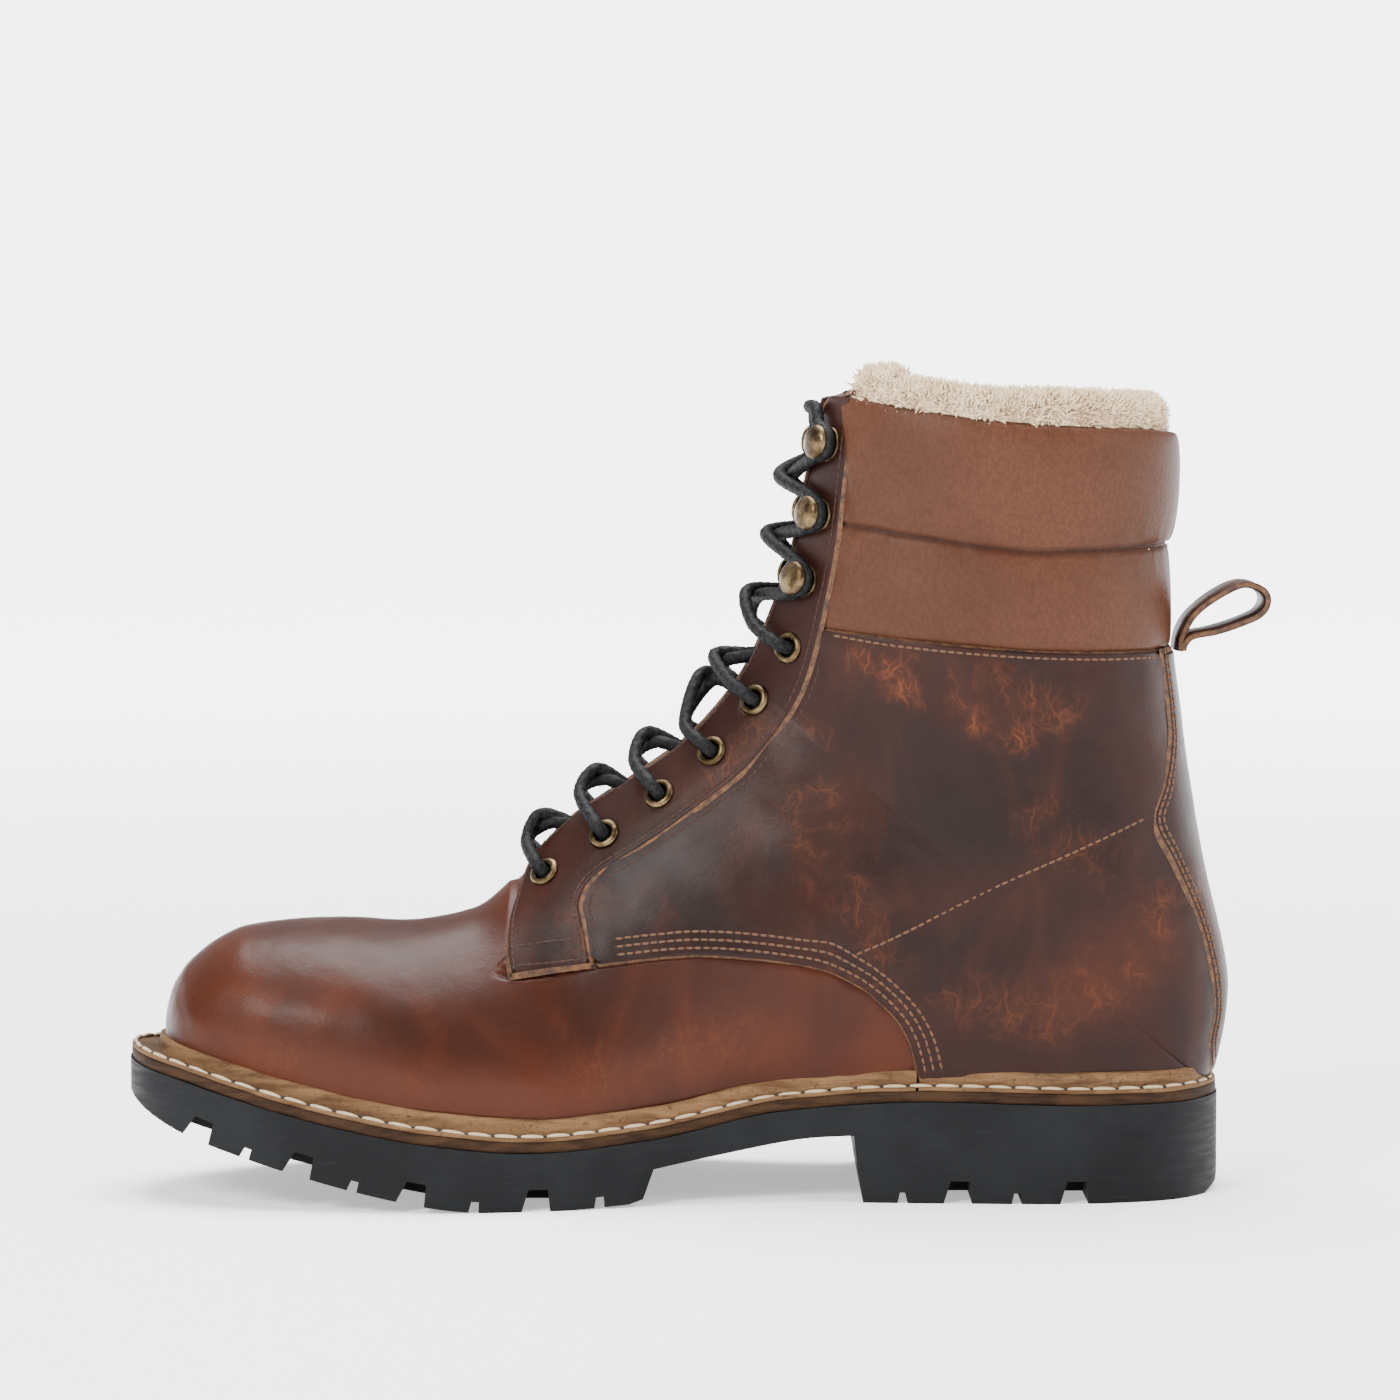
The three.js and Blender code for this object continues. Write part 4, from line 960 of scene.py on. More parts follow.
def build_quarter(side, tag):
    edge = on_side(VAMP_EDGE, side)
    visible = between(edge, 0.20, 1.0)
    sole = chart_line((visible[-1, 0], side * 0.999), (13.8, side * 0.999), 90)
    under_backstay = on_side([(x + 2.6, z) for x, z in BACKSTAY_EDGE[1:]], side)
    top = on_side([(x, z) for x, z in COLLAR_BOTTOM[:-1]] + [(131.5, 155.8)], side)[::-1]
    under_stay = on_side([(x - 5, z + 2) for x, z in EYESTAY_REAR if z < 150] + [(29, 160)], side)[::-1]
    top = top[len(top) // 20:]
    top = top[on_face(top)[:, 0] > 29.5]
    loop = joined_loop(visible, sole, under_backstay, top, under_stay)
    rows = [Row(between(shifted(edge, d, QUARTER_HUB), 0.235, 0.985), QUARTER_LIFT) for d in (2.8, 5.1, 7.4)]
    stay = on_side(EYESTAY_REAR, side)
    # Its stitches are in the darker thread, painted shade in the seam beside the eyestay's edge.
    rows.append(Row(between(shifted(stay, 1.5, QUARTER_HUB), 0.06, 0.60), QUARTER_LIFT, 1))
    rows.append(Row(on_side([(38, z - 2.4) if x == 33 else (x, z - 2.4) for x, z in COLLAR_BOTTOM[1:-1]]
                            + [(128.5, 153.4)], side), QUARTER_LIFT))
    rows.append(Row(on_side(COUNTER_ROW, side), QUARTER_LIFT))
    for row in rows:
        row.waves = quarter_waves
    sunk = dips(rows, 0.28, 0.9)
    obj = panel(f"quarter_leather_{tag}", loop, QUARTER_LIFT, lambda p: np.full(len(p), -0.6), 0.75,
                QUARTER_LEATHER, relief=lambda p: sunk(p) + quarter_waves(p),
                attributes=lambda p: leather_tone(p, QUARTER_PATCHES, QUARTER_CREASES))
    piece(obj, "boot", [f"quarter_{tag}"])
    ROWS_SEWN.extend(rows)


def build_eyestay(side, tag):
    rear = on_side(EYESTAY_REAR, side)
    front_low = on_side(EYESTAY_FRONT, side)
    stations_up = np.linspace(8.2, 18.95, 220)
    throat = np.stack([stations_up, side * angle_across(stations_up, throat_half_width(stations_up))], -1)
    foot_line = on_side(VAMP_EDGE, side)
    shown_foot = foot_line[on_face(foot_line)[:, 0] < -29.6]
    top = chart_line(throat[-1], rear[-1], 26)
    front = joined_loop(front_low, throat)
    loop = joined_loop(front, top, rear[::-1], shown_foot[::-1])
    loop = along_face(np.vstack([loop, loop[:1]]), 0.8)[:-1]
    rows = [
        Row(between(shifted(front, 2.3, STAY_HUB), 0.02, 0.985), EYESTAY_LIFT, 1),
        Row(between(shifted(rear, 3.0, STAY_HUB), 0.03, 0.985), EYESTAY_LIFT, 1),
        Row(on_side([(-51.2, 71.0), (-43, 72.6), (-35.6, 73.6)], side), EYESTAY_LIFT, 1),
        Row(on_side([(-51.4, 66.0), (-40, 67.3), (-32.8, 68.4)], side), EYESTAY_LIFT, 1),
    ]
    holes = [hole_loop(place, side, 2.9) for place in EYELETS]
    sunk = dips(rows, 0.24, 0.85)
    rear_points = on_face(rear)

    def foot(points):
        near = ramp(3, 7, distance_to(points, rear_points))
        low = ramp(70.5, 67.5, points[:, 2])
        return mix(mix(QUARTER_LIFT - 0.15, -0.5, near), -0.15, low)

    for row in rows:
        row.waves = stay_waves
    patches = [((-52, 80), (0, 118), 16, 0.10), ((10, 130), (38, 226), 12, -0.12)]
    creases = [((-30, 70), (-34, 80), 8, 0.35), ((0, 112), (20, 134), 7, 0.25)]
    obj = panel(f"eyestay_leather_{tag}", loop, EYESTAY_LIFT, foot, 1.25, QUARTER_LEATHER, holes,
                relief=lambda p: sunk(p) + stay_waves(p),
                attributes=lambda p: leather_tone(p, patches, creases))
    piece(obj, "boot", [f"eyestay_{tag}"])
    ROWS_SEWN.extend(rows)


def build_backstay():
    outer = on_side(BACKSTAY_EDGE, 1)
    inner = mirrored(outer)
    crest = on_side([(129.4, 155.6), (132, 155.8), (133.6, 155.9), (134.2, 156)], 1)
    crest = crest[crest[:, 1] < 0.995]
    top = np.vstack([crest, [[crest[-1, 0], 1.0]], mirrored(crest)[::-1]])
    bottom = chart_line((inner[0, 0], inner[0, 1]), (outer[0, 0], outer[0, 1]), 14)
    loop = joined_loop(outer, top, inner[::-1], bottom)
    loop = along_face(np.vstack([loop, loop[:1]]), 0.8)[:-1]
    rows = []
    for d in (2.4, 4.2):
        line = shifted(outer, d, BACKSTAY_HUB)
        rows.append(Row(between(line, 0.02, 0.985), BACKSTAY_LIFT))
        rows.append(Row(mirrored(line)[int(0.02 * len(line)):], BACKSTAY_LIFT))
    for row in rows:
        row.waves = stay_waves
    sunk = dips(rows, 0.26, 0.9)
    patches, creases = [((148, 50), (140, 100), 16, 0.2)], [((147, 60), (140, 90), 12, 0.3)]
    obj = panel("backstay_leather", loop, BACKSTAY_LIFT, lambda p: np.full(len(p), QUARTER_LIFT - 0.15), 1.5,
                QUARTER_LEATHER, relief=lambda p: sunk(p) + stay_waves(p),
                attributes=lambda p: leather_tone(p, patches, creases))
    piece(obj, "boot", ["backstay"])
    ROWS_SEWN.extend(rows)


def reach_at(w, line):
    """The station at which a located line crosses each angle."""
    order = np.argsort(np.abs(line[:, 1]))
    return np.interp(np.abs(w), np.abs(line[order, 1]), line[order, 0])


def build_vamp():
    """One sheet from the toe to just under the quarters and the eyestays."""
    def rim(shift_x, shift_z):
        across = [(-54 + shift_x, 63.5 + shift_z + k) for k in (24, 18, 12, 6)]
        below = [(x + shift_x * 0.5, z + shift_z) for x, z in VAMP_EDGE]
        return locate(smooth_line(across + below, 200))
    hidden, shown = rim(7, 5.5), rim(0, 0)
    columns = np.linspace(-1, 1, 221)
    rows = np.linspace(0, 1, 150) ** 0.92
    top = reach_at(columns, hidden)
    u = rows[:, None] * top[None, :]
    w = np.broadcast_to(columns, u.shape)
    past = (u - reach_at(columns, shown)[None, :]) * station_length(u, w)
    base = face_point(u, w).reshape(-1, 3)
    height = VAMP_LIFT - 1.3 * ramp(-0.2, 1.4, past).reshape(-1)
    height += ripples(base, 34, 0.55) + ripples(base, 10, 0.14)
    points = base + face_normal(u, w).reshape(-1, 3) * height[:, None]
    values = leather_tone(base, VAMP_TONE_AND_SHADE, VAMP_CREASES)
    obj = solid_mesh("vamp_upper", points, grid_faces(*u.shape), VAMP_LEATHER, attributes=values)
    weld(obj)
    piece(obj, "boot", ["vamp"])


# ------------------------------------------------------------------ collar and lining

COLLAR_COLUMNS = 300

# Length of the collar round the shaft, height of its two rolls, and how far they stand out.
COLLAR_LENGTH = 580
LOWER_ROLL = 30
UPPER_ROLL = 33
LOWER_BULGE = 1.75
UPPER_BULGE_FRONT = 2.3
UPPER_BULGE_BACK = 4.3

# Locks of fleece, and the share of them that stand inside the shaft.
TUFTS = 15000
DEEP_SHARE = 0.25
TUFT_LENGTHS = (1.8, 3.8)
TUFT_WIDTHS = (0.30, 0.62)


def round_the_back(points, front_x):
    """A side-view line from front_x on the outer side round the heel to the inner side, in even columns."""
    line = locate(smooth_line(points, 400))
    outer = line[(on_face(line)[:, 0] > front_x) & (line[:, 1] < 0.997)]
    whole = np.vstack([outer, [[outer[-1, 0], 1.0]], mirrored(outer)[::-1]])
    return resampled(on_face(whole), whole, COLLAR_COLUMNS - 1)


def evened_draws(rng, window, extra):
    """A random value for each column of the collar, evened out over a window, from `extra` draws more."""
    return np.convolve(rng.normal(0, 1, COLLAR_COLUMNS + extra), window, "valid")[:COLLAR_COLUMNS]


def build_collar():
    """The padded cover: two rolls with a pinched and puckered seam between them."""
    bottom = round_the_back(COLLAR_BOTTOM, 30.5)
    seam = round_the_back(COLLAR_SEAM, 36)
    top = round_the_back(COLLAR_TOP, 39.5)
    share = np.linspace(0, 1, COLLAR_COLUMNS)
    from_front = np.minimum(share, 1 - share) * COLLAR_LENGTH / 2
    rise = ramp(3, 20, from_front)
    # Each row of the cover: the two lines it lies between and its share of the way, how far it is moved up,
    # and its height where that isn't worked out from the rolls.
    profile = [(bottom, bottom, 0, up, height) for up, height in ((-3.0, -0.9), (-1.0, -0.8), (0, -0.25))]
    profile += [(bottom, seam, s, 0, None) for s in np.linspace(0.02, 0.985, 22)]
    profile += [(bottom, seam, 1, 0, -0.35)]
    profile += [(seam, top, s, 0, None) for s in np.linspace(0.015, 0.98, 26)]
    hem = ((0.2, -0.9), (-0.4, -2.2), (-2.5, -3.3), (-6, -3.7))
    profile += [(top, top, 0, up, height) for up, height in hem]
    rng = np.random.default_rng(7)
    puckers = evened_draws(rng, np.ones(4) / 4, 8)
    folds = evened_draws(rng, np.hanning(30) / 9, 40)
    # Each row also gets a tone that the collar's material turns into painted shade: darkest along the pinched
    # seam, and a little darker on the turned-in rows at the bottom and the hem.
    points, tone = [], []
    for low, high, s, drop, fixed in profile:
        uw = mix(low, high, s)
        uw = np.stack([uw[:, 0] + drop / station_length(uw[:, 0], uw[:, 1]), uw[:, 1]], -1)
        base = on_face(uw)
        if fixed is None:
            bulge = math.sqrt(max(0, 1 - (2 * s - 1) ** 2)) ** 0.8
            if high is top:
                size = mix(UPPER_BULGE_FRONT, UPPER_BULGE_BACK, ramp(45, 130, base[:, 0]))
                from_seam = s * UPPER_ROLL
            else:
                size = LOWER_BULGE
                from_seam = (1 - s) * LOWER_ROLL
            gathered = math.exp(-(from_seam / 4.5) ** 2) * (1 - math.exp(-(from_seam / 0.8) ** 2))
            height = mix(0.35, 1, rise) * size * bulge
            height += puckers * 0.32 * gathered + folds * 0.16 * bulge * rise
            height = np.minimum(height, 0.3 + 9 * ramp(4, 26, from_front))
            shade = 0.5 - 0.45 * math.exp(-(from_seam / 0.9) ** 2)
        else:
            height = np.full(len(base), float(fixed))
            shade = 0.2 if high is seam else 0.45
        points.append(base + face_normal(uw[:, 0], uw[:, 1]) * height[:, None])
        tone.append(np.full(len(base), shade))
    points = np.vstack(points)
    points[:, 2] += ripples(points, 12, 0.22)
    obj = solid_mesh("padded_collar", points, grid_faces(len(profile), COLLAR_COLUMNS), [COLLAR],
                     attributes={"tone": np.concatenate(tone)})
    piece(obj, "boot", ["collar"])
    # Its stitches are in the darker thread, painted shade in the pinched seam.
    ROWS_SEWN.append(Row(seam[8:-8], -0.05, 1, 2.6))


def build_lining():
    """The shaft's fleece: a thick sheet rolled over the collar's rim, and its locks."""
    rim = round_the_back([(x, z + 7 if x < 100 else z + 8) for x, z in COLLAR_TOP], 45)
    scale = station_length(rim[:, 0], rim[:, 1])
    half_pile = (LINING_INSIDE - LINING_FACE + 2.2) / 2
    middle_depth = -LINING_INSIDE + half_pile
    profile = [(-13, middle_depth + half_pile), (-8, middle_depth + half_pile + 0.3)]
    for a in np.linspace(0, np.pi, 9):
        profile.append((-half_pile * (1 - math.sin(a)), middle_depth + half_pile * math.cos(a)))
    profile += [(-drop, -LINING_INSIDE) for drop in (7, 14, 24, 36, 50, 66, 84, 104, 128, 150, 172)]
    points = []
    for drop, depth in profile:
        u = np.maximum(rim[:, 0] + drop / scale, 9.0)
        points.append(lifted(u, rim[:, 1], np.full(len(u), depth)))
    points = np.vstack(points)
    points += jitter(points, 5, 1.0)
    obj = solid_mesh("shaft_fleece", points, grid_faces(len(profile), COLLAR_COLUMNS), [FLEECE],
                     attributes={"tone": np.full(len(points), 0.46)})
    piece(obj, "boot", ["lining_shaft"])
    rng = np.random.default_rng(11)
    count = TUFTS
    column = rng.uniform(0, COLLAR_COLUMNS - 1, count)
    place = np.stack([np.interp(column, np.arange(COLLAR_COLUMNS), rim[:, k]) for k in range(2)], -1)
    per = np.interp(column, np.arange(COLLAR_COLUMNS), scale)
    angle = rng.uniform(-0.15, 1.0, count) * np.pi
    deep = rng.uniform(0, 1, count) < DEEP_SHARE
    over = np.clip(angle, 0, np.pi)
    rolled = -half_pile * (1 - np.sin(over)) + np.where(angle < 0, angle * 14, 0)
    drop = np.where(deep, -rng.uniform(4, 40, count), rolled)
    depth = np.where(deep, -LINING_INSIDE, middle_depth + half_pile * np.cos(over))
    root = lifted(place[:, 0] + drop / per, place[:, 1], depth)
    outward = face_normal(place[:, 0], place[:, 1])
    upward = unit(face_slopes(place[:, 0], place[:, 1])[0])
    fanned = outward * np.cos(angle)[:, None] + upward * np.sin(angle)[:, None]
    grow = np.where(deep[:, None], -outward, fanned)
    tufts("fleece_tufts", root, unit(grow + rng.normal(0, 0.45, (count, 3)) + upward * 0.3), rng)


def tufts(name, root, grow, rng):
    """Short curved tapering locks of fleece standing on their roots."""
    count = len(root)
    length = rng.uniform(*TUFT_LENGTHS, count)[:, None]
    width = rng.uniform(*TUFT_WIDTHS, count)[:, None]
    side = unit(np.cross(grow, rng.normal(0, 1, (count, 3))))
    other = np.cross(grow, side)
    bend = rng.uniform(-0.9, 0.9, (count, 1))
    rings = []
    for t, taper in ((-0.15, 1.0), (0.35, 0.95), (0.7, 0.65), (1.0, 0.12)):
        middle = root + grow * length * t + side * bend * t * t
        for a in (0, 2.1, 4.2):
            rings.append(middle + (side * math.cos(a) + other * math.sin(a)) * width * taper)
    points = np.stack(rings, 1).reshape(-1, 3)
    single = grid_faces(4, 3, closed_columns=True) + [(9, 10, 11)]
    shade = np.repeat(rng.uniform(0.38, 0.62, count), 12)
    obj = solid_mesh(name, points, copies(single, count, 12), [FLEECE], attributes={"tone": shade})
    piece(obj, "boot")


# ------------------------------------------------------------------ tongue

TONGUE_TOP = 231
TONGUE_FOOT = 7.95                  # the station of its lower end


def tongue_face(u, across, extra):
    """A point of the tongue: the lasted section with shorter half axes, leaning back towards the top."""
    w = angle_across(u, across)
    point = face_point(u, w)
    row = stations(u)
    inwards = 6.6 + extra + 13 * ramp(150, 240, point[..., 2])
    widest = row[..., 8]
    ends = ((0, 2), (6, 7), (1, 3))
    centre = np.stack([mix(row[..., front], row[..., rear], widest) for front, rear in ends], -1)
    chord = np.stack([row[..., 2] - row[..., 0], np.zeros_like(widest), row[..., 3] - row[..., 1]], -1)
    length = np.linalg.norm(chord, axis=-1)
    chord = chord / length[..., None]
    offset = point - centre
    along = (offset * chord).sum(-1)
    reach = length * np.where(along < 0, widest, 1 - widest)
    moved_point = point - chord * (along * inwards / reach)[..., None]
    moved_point[..., 1] -= offset[..., 1] * inwards / row[..., 4]
    return moved_point


def build_tongue_layer(name, start, end, material, node, top, rough=0.0):
    """One layer of the tongue, between two depths, up to the station `top`."""
    u = np.linspace(TONGUE_FOOT, top, 110)[:, None]
    half = mix(13, 20.6, ramp(8, 12, u))
    across = np.linspace(-1, 1, 41)[None, :] * half
    u = np.broadcast_to(u, across.shape)
    layers = [tongue_face(u, across, start), tongue_face(u, across, end)]
    points = np.vstack([layer.reshape(-1, 3) for layer in layers])
    points[:, 2] = np.minimum(points[:, 2], TONGUE_TOP - 0.2)
    points += jitter(points, 7, rough + 0.25)
    rows, columns = across.shape
    total = rows * columns
    faces = grid_faces(rows, columns) + [tuple(i + total for i in f[::-1]) for f in grid_faces(rows, columns)]
    ring = list(range(columns)) + [r * columns + columns - 1 for r in range(1, rows)]
    ring += [(rows - 1) * columns + c for c in range(columns - 2, -1, -1)]
    ring += [r * columns for r in range(rows - 2, 0, -1)]
    faces += [(a, b, b + total, a + total) for a, b in zip(ring, ring[1:] + ring[:1])]
    tone = np.full(len(points), 0.45)
    obj = solid_mesh(name, points, faces, [material], attributes={"tone": tone, "pull": tone * 0.3})
    weld(obj)
    softened(obj, "soft_edges", 0.5, 0.9)
    piece(obj, "tongue_flap", [node])


# ------------------------------------------------------------------ welt, midsole and sole

def closed_even(points, count):
    return even(np.vstack([points, points[:1]]), count)[:-1]


def smooth_ring(corners, count):
    """A smooth closed plan outline through its corners."""
    points = np.array(corners, float)
    dense = []
    for k in range(len(points)):
        a, b, c, d = (points[(k + j) % len(points)] for j in (-1, 0, 1, 2))
        knots = np.cumsum([0] + [math.sqrt(np.linalg.norm(q - p)) for p, q in ((a, b), (b, c), (c, d))])
        for t in np.linspace(knots[1], knots[2], 30, endpoint=False):
            ab = mix(a, b, (t - knots[0]) / (knots[1] - knots[0]))
            bc = mix(b, c, (t - knots[1]) / (knots[2] - knots[1]))
            cd = mix(c, d, (t - knots[2]) / (knots[3] - knots[2]))
            abc = mix(ab, bc, (t - knots[0]) / (knots[2] - knots[0]))
            bcd = mix(bc, cd, (t - knots[1]) / (knots[3] - knots[1]))
            dense.append(mix(abc, bcd, (t - knots[1]) / (knots[2] - knots[1])))
    return closed_even(np.array(dense), count)


def outwards(ring):
    """The outward direction at each point of a plan ring."""
    tangent = unit(np.roll(ring, -1, 0) - np.roll(ring, 1, 0))
    return np.stack([tangent[:, 1], -tangent[:, 0]], -1) * np.sign(turning(ring))


def grown(ring, distance):
    """A plan ring moved outwards by distance."""
    return ring + outwards(ring) * distance


def underside(x):
    """Height of the underside of the lasted upper."""
    row = stations(np.linspace(0, HEEL_STATION, 200))
    return np.interp(x, [-175, *row[:, 2], 175], [45, *row[:, 3], 31.2])


RING_COUNT = 900


def plan_rings():
    """The plan outlines of the lasted upper's underside and of the sole."""
    up = np.linspace(0.0, HEEL_STATION, 260)
    inner, outer = face_point(up, np.full(260, -1.0)), face_point(up, np.full(260, 1.0))
    last = closed_even(np.vstack([inner[:-1], outer[::-1][:-1]])[:, :2], RING_COUNT)
    return last, smooth_ring(SOLE_OUTLINE, RING_COUNT)


LAST_RING, SOLE_RING = plan_rings()

# The least room between the welt's wall and the edge of the sole, where the stitches lie.
LIP_ROOM = 2.6


def held_in(ring, room):
    """The ring pulled in wherever it comes closer than room to the edge of the sole."""
    out = outwards(SOLE_RING)
    nearest = np.argmin(np.linalg.norm(ring[:, None] - SOLE_RING[None], axis=-1), 1)
    inside_by = ((SOLE_RING[nearest] - ring) * out[nearest]).sum(-1)
    return ring - out[nearest] * np.maximum(0, room - inside_by)[:, None]


def level_ring(ring, distance, height):
    """A ring grown by distance, at a height above the underside of the upper."""
    plan = grown(ring, distance)
    if ring is LAST_RING:
        plan = held_in(plan, LIP_ROOM - 0.25 * distance)
    return np.column_stack([plan, underside(plan[:, 0]) + height])


def ring_strip(name, levels, material, keep=None, bumps=0.0, tone=None):
    """A closed moulding round the boot: a stack of rings, of which keep(x) picks a stretch."""
    rings = np.stack(levels)
    faces = grid_faces(len(levels), RING_COUNT, closed_columns=True)
    points = rings.reshape(-1, 3)
    if keep is not None:
        wanted = keep(points[:, 0])
        faces = [f for f in faces if wanted[list(f)].all()]
    if bumps:
        points = points + jitter(points, 9, bumps)
    # Each ring's tone, which the welt's material turns into painted shade.
    values = {"tone": np.repeat(tone if tone is not None else [0.5] * len(levels), RING_COUNT)}
    obj = solid_mesh(name, points, faces, [material], attributes=values)
    bm = bmesh.new()
    bm.from_mesh(obj.data)
    bmesh.ops.delete(bm, geom=[v for v in bm.verts if not v.link_faces], context="VERTS")
    bmesh.ops.recalc_face_normals(bm, faces=bm.faces)
    bm.to_mesh(obj.data)
    bm.free()
    return obj


WELT_JOIN = 61.5
WELT_STITCHES = 96

# Sections of the mouldings, as distance out from their ring and height above the underside of the upper.
WELT_WALL = [
    (-0.8, 4.4), (0.1, 5.05), (0.8, 5.4), (1.5, 5.42), (2.05, 5.1), (2.35, 4.5), (2.5, 3.4), (2.6, 2.2),
    (2.75, 1.3), (3.1, 0.75),
]
WELT_LIP = [
    (-1.75, 0.55), (-1.35, 0.60), (-1.1, 0.80), (-0.85, 0.88), (-0.6, 0.70), (-0.5, 0.35), (-0.5, -0.3),
    (-3.5, -0.32),
]
# Each level's tone, wall then lip: painted shade, darkest in the crevice against the upper, where the wall
# meets the lip and down the lip's outer face; values above 0.5 change nothing.
WELT_PAINTED_SHADE = [
    0.3, 0.35, 0.5, 0.62, 0.62, 0.58, 0.55, 0.5, 0.40, 0.15, 0.15, 0.2, 0.45, 0.55, 0.5, 0.4, 0.3, 0.3,
]
MIDSOLE_BAND = [
    (-3.5, -0.35), (-0.75, -0.4), (-0.5, -0.6), (-0.45, -2.0), (-0.5, -3.3), (-0.7, -3.5), (-3.5, -3.55),
]


def build_welt():
    """The storm welt, the heel rand, the midsole's edge and the sole stitching."""
    levels = [level_ring(LAST_RING, *place) for place in WELT_WALL]
    levels += [level_ring(SOLE_RING, *place) for place in WELT_LIP]
    front = ring_strip("storm_welt_wall", levels, WELT, lambda x: x < WELT_JOIN - 0.2, 0.22, WELT_PAINTED_SHADE)
    rear = ring_strip("heel_rand_wall", levels, WELT, lambda x: x > WELT_JOIN - 0.1, 0.22, WELT_PAINTED_SHADE)
    piece(front, "boot", ["storm_welt"])
    piece(rear, "boot", ["heel_rand"])
    levels = [level_ring(SOLE_RING, *place) for place in MIDSOLE_BAND]
    middle = ring_strip("midsole_edge", levels, STAINED, None, 0.15)
    piece(middle, "boot", ["midsole"])
    line = closed_even(grown(SOLE_RING, -1.25), WELT_STITCHES)
    line = np.column_stack([line, underside(line[:, 0]) + 1.15])
    ahead = np.roll(line, -1, 0)
    centres, along = (line + ahead) / 2, unit(ahead - line)
    outward = unit(np.cross(along, [0, 0, 1.0]))
    normal = unit(np.cross(outward, along))
    normal = normal * np.sign(normal[:, 2:3])
    away = unit(np.column_stack([centres[:, :2], np.zeros(len(centres))]))
    outward = outward * np.sign((outward * away).sum(-1, keepdims=True))
    along = unit(along - normal * 0.035)
    half = np.linalg.norm(ahead - line, axis=1).mean() / 2 - 0.35
    tilt = unit(normal * 0.75 + outward * 0.66)
    threads = capsules("welt_lockstitch", centres, along, tilt, half, 0.56, 0.9, [WELT_THREAD], 0.42)
    piece(threads, "boot", ["welt_thread"])
    # Dark pits at the welt stitches' needle holes: painted shade.
    hole_shades = capsules("welt_hole_shade", line - [0, 0, 0.25], along, tilt, 0.5, 0.5, 0.7, [NEEDLE_HOLE_SHADE])
    piece(hole_shades, "boot")


# The sole from the side: down the back of the heel, along its bottom, under the arch and on to the toe.
TREAD_HEEL = [(149.6, 24), (149.6, 7), (148, 2.5), (144, 0), (46, 0), (44.5, 9), (43.5, 19)]
TREAD_ARCH = [(43.5, 19), (28, 18), (8, 14.5), (-13, 10.5)]
TREAD_FRONT = [(-13, 10.5), (-16, 2.2), (-20, 0.9)]
TREAD_BALL = [
    (-20, 0.9), (-38, 0), (-60, 0), (-76, 1.6), (-98, 6.2), (-116, 11), (-129, 14.8), (-145, 20),
    (-157, 25.5), (-163.6, 30),
]
GROOVES = [-141.5, -112.5, -80.5, -45.5, 73, 105.8]
NOTCHES = [-127.5, -97, -63, -28, 57.3, 89.4]
GROOVE_SHAPE = [(-5.6, -4), (-2.3, LUG_DEPTH), (3.1, LUG_DEPTH), (4.0, -4)]
NOTCH_SHAPE = [(-2.2, -3), (-0.9, NOTCH_DEPTH), (1.2, NOTCH_DEPTH), (1.3, -3)]
LUG_REACH = 24


def prism(name, outline, upright, low, high):
    """A closed prism on a plan outline (upright) or on a side outline."""
    count = len(outline)
    points = [(a, b, h) if upright else (a, h, b) for h in (low, high) for a, b in outline]
    faces = [(k, (k + 1) % count, (k + 1) % count + count, k + count) for k in range(count)]
    faces += [tuple(range(count)), tuple(range(count, 2 * count))]
    return weld(solid_mesh(name, points, faces, [RUBBER], smooth=False))


def combined(base, tool, operation):
    """The base cut to, or cut by, the tool, which is used up."""
    cut = base.modifiers.new("cut", "BOOLEAN")
    cut.object, cut.operation, cut.solver = tool, operation, "EXACT"
    bpy.context.view_layer.update()
    result = base.evaluated_get(bpy.context.evaluated_depsgraph_get())
    mesh = bpy.data.meshes.new_from_object(result)
    base.modifiers.clear()
    base.data = mesh
    bpy.data.objects.remove(tool)
    return base


def build_outsole():
    """A block cut to the side view, with its grooves and notches cut from both sides."""
    tread = TREAD_HEEL + smooth_line(TREAD_ARCH, 14)[1:].tolist() + TREAD_FRONT[1:]
    ball = smooth_line(TREAD_BALL, 40)
    tread += ball[1:].tolist()
    top_x = np.linspace(-168, TREAD_HEEL[0][0], 90)
    rubber_top = np.column_stack([top_x, underside(top_x) - MIDSOLE - 0.25])
    side_view = [tuple(p) for p in tread + rubber_top.tolist()]
    plan = smooth_ring(SOLE_OUTLINE, 280)
    sole = prism("lug_outsole", plan, True, -5, 80)
    sole = combined(sole, prism("side_view", side_view, False, -90, 90), "INTERSECT")
    lower = np.vstack([ball[::-1], [(44, 0), (150, 0)]])
    cutters = []
    for places, shape in ((GROOVES, GROOVE_SHAPE), (NOTCHES, NOTCH_SHAPE)):
        for x in places:
            ground = np.interp(x, lower[:, 0], lower[:, 1])
            ahead, behind = (np.interp(x + step, lower[:, 0], lower[:, 1]) for step in (5, -5))
            slope = 0 if x > 0 else (ahead - behind) / 10
            lean = 1 / math.hypot(1, slope)
            outline = [(x + (a - b * slope) * lean, ground + (a * slope + b) * lean) for a, b in shape]
            for side in (-1, 1):
                near = plan[np.sign(plan[:, 1]) == side]
                edge = side * (abs(near[np.argmin(abs(near[:, 0] - x)), 1]) - LUG_REACH)
                low, high = sorted((edge, side * 80))
                cutters.append(prism("cutter", outline, False, low, high))
    for cutter in cutters:
        sole = combined(sole, cutter, "DIFFERENCE")
    sole.data.polygons.foreach_set("use_smooth", np.ones(len(sole.data.polygons), bool))
    sole.data.set_sharp_from_angle(angle=0.5)
    softened(sole, "worn_edges", 0.5, 0.6)
    piece(sole, "boot", ["outsole"])


# ------------------------------------------------------------------ metalwork, laces and pull loop

TURNS = 40


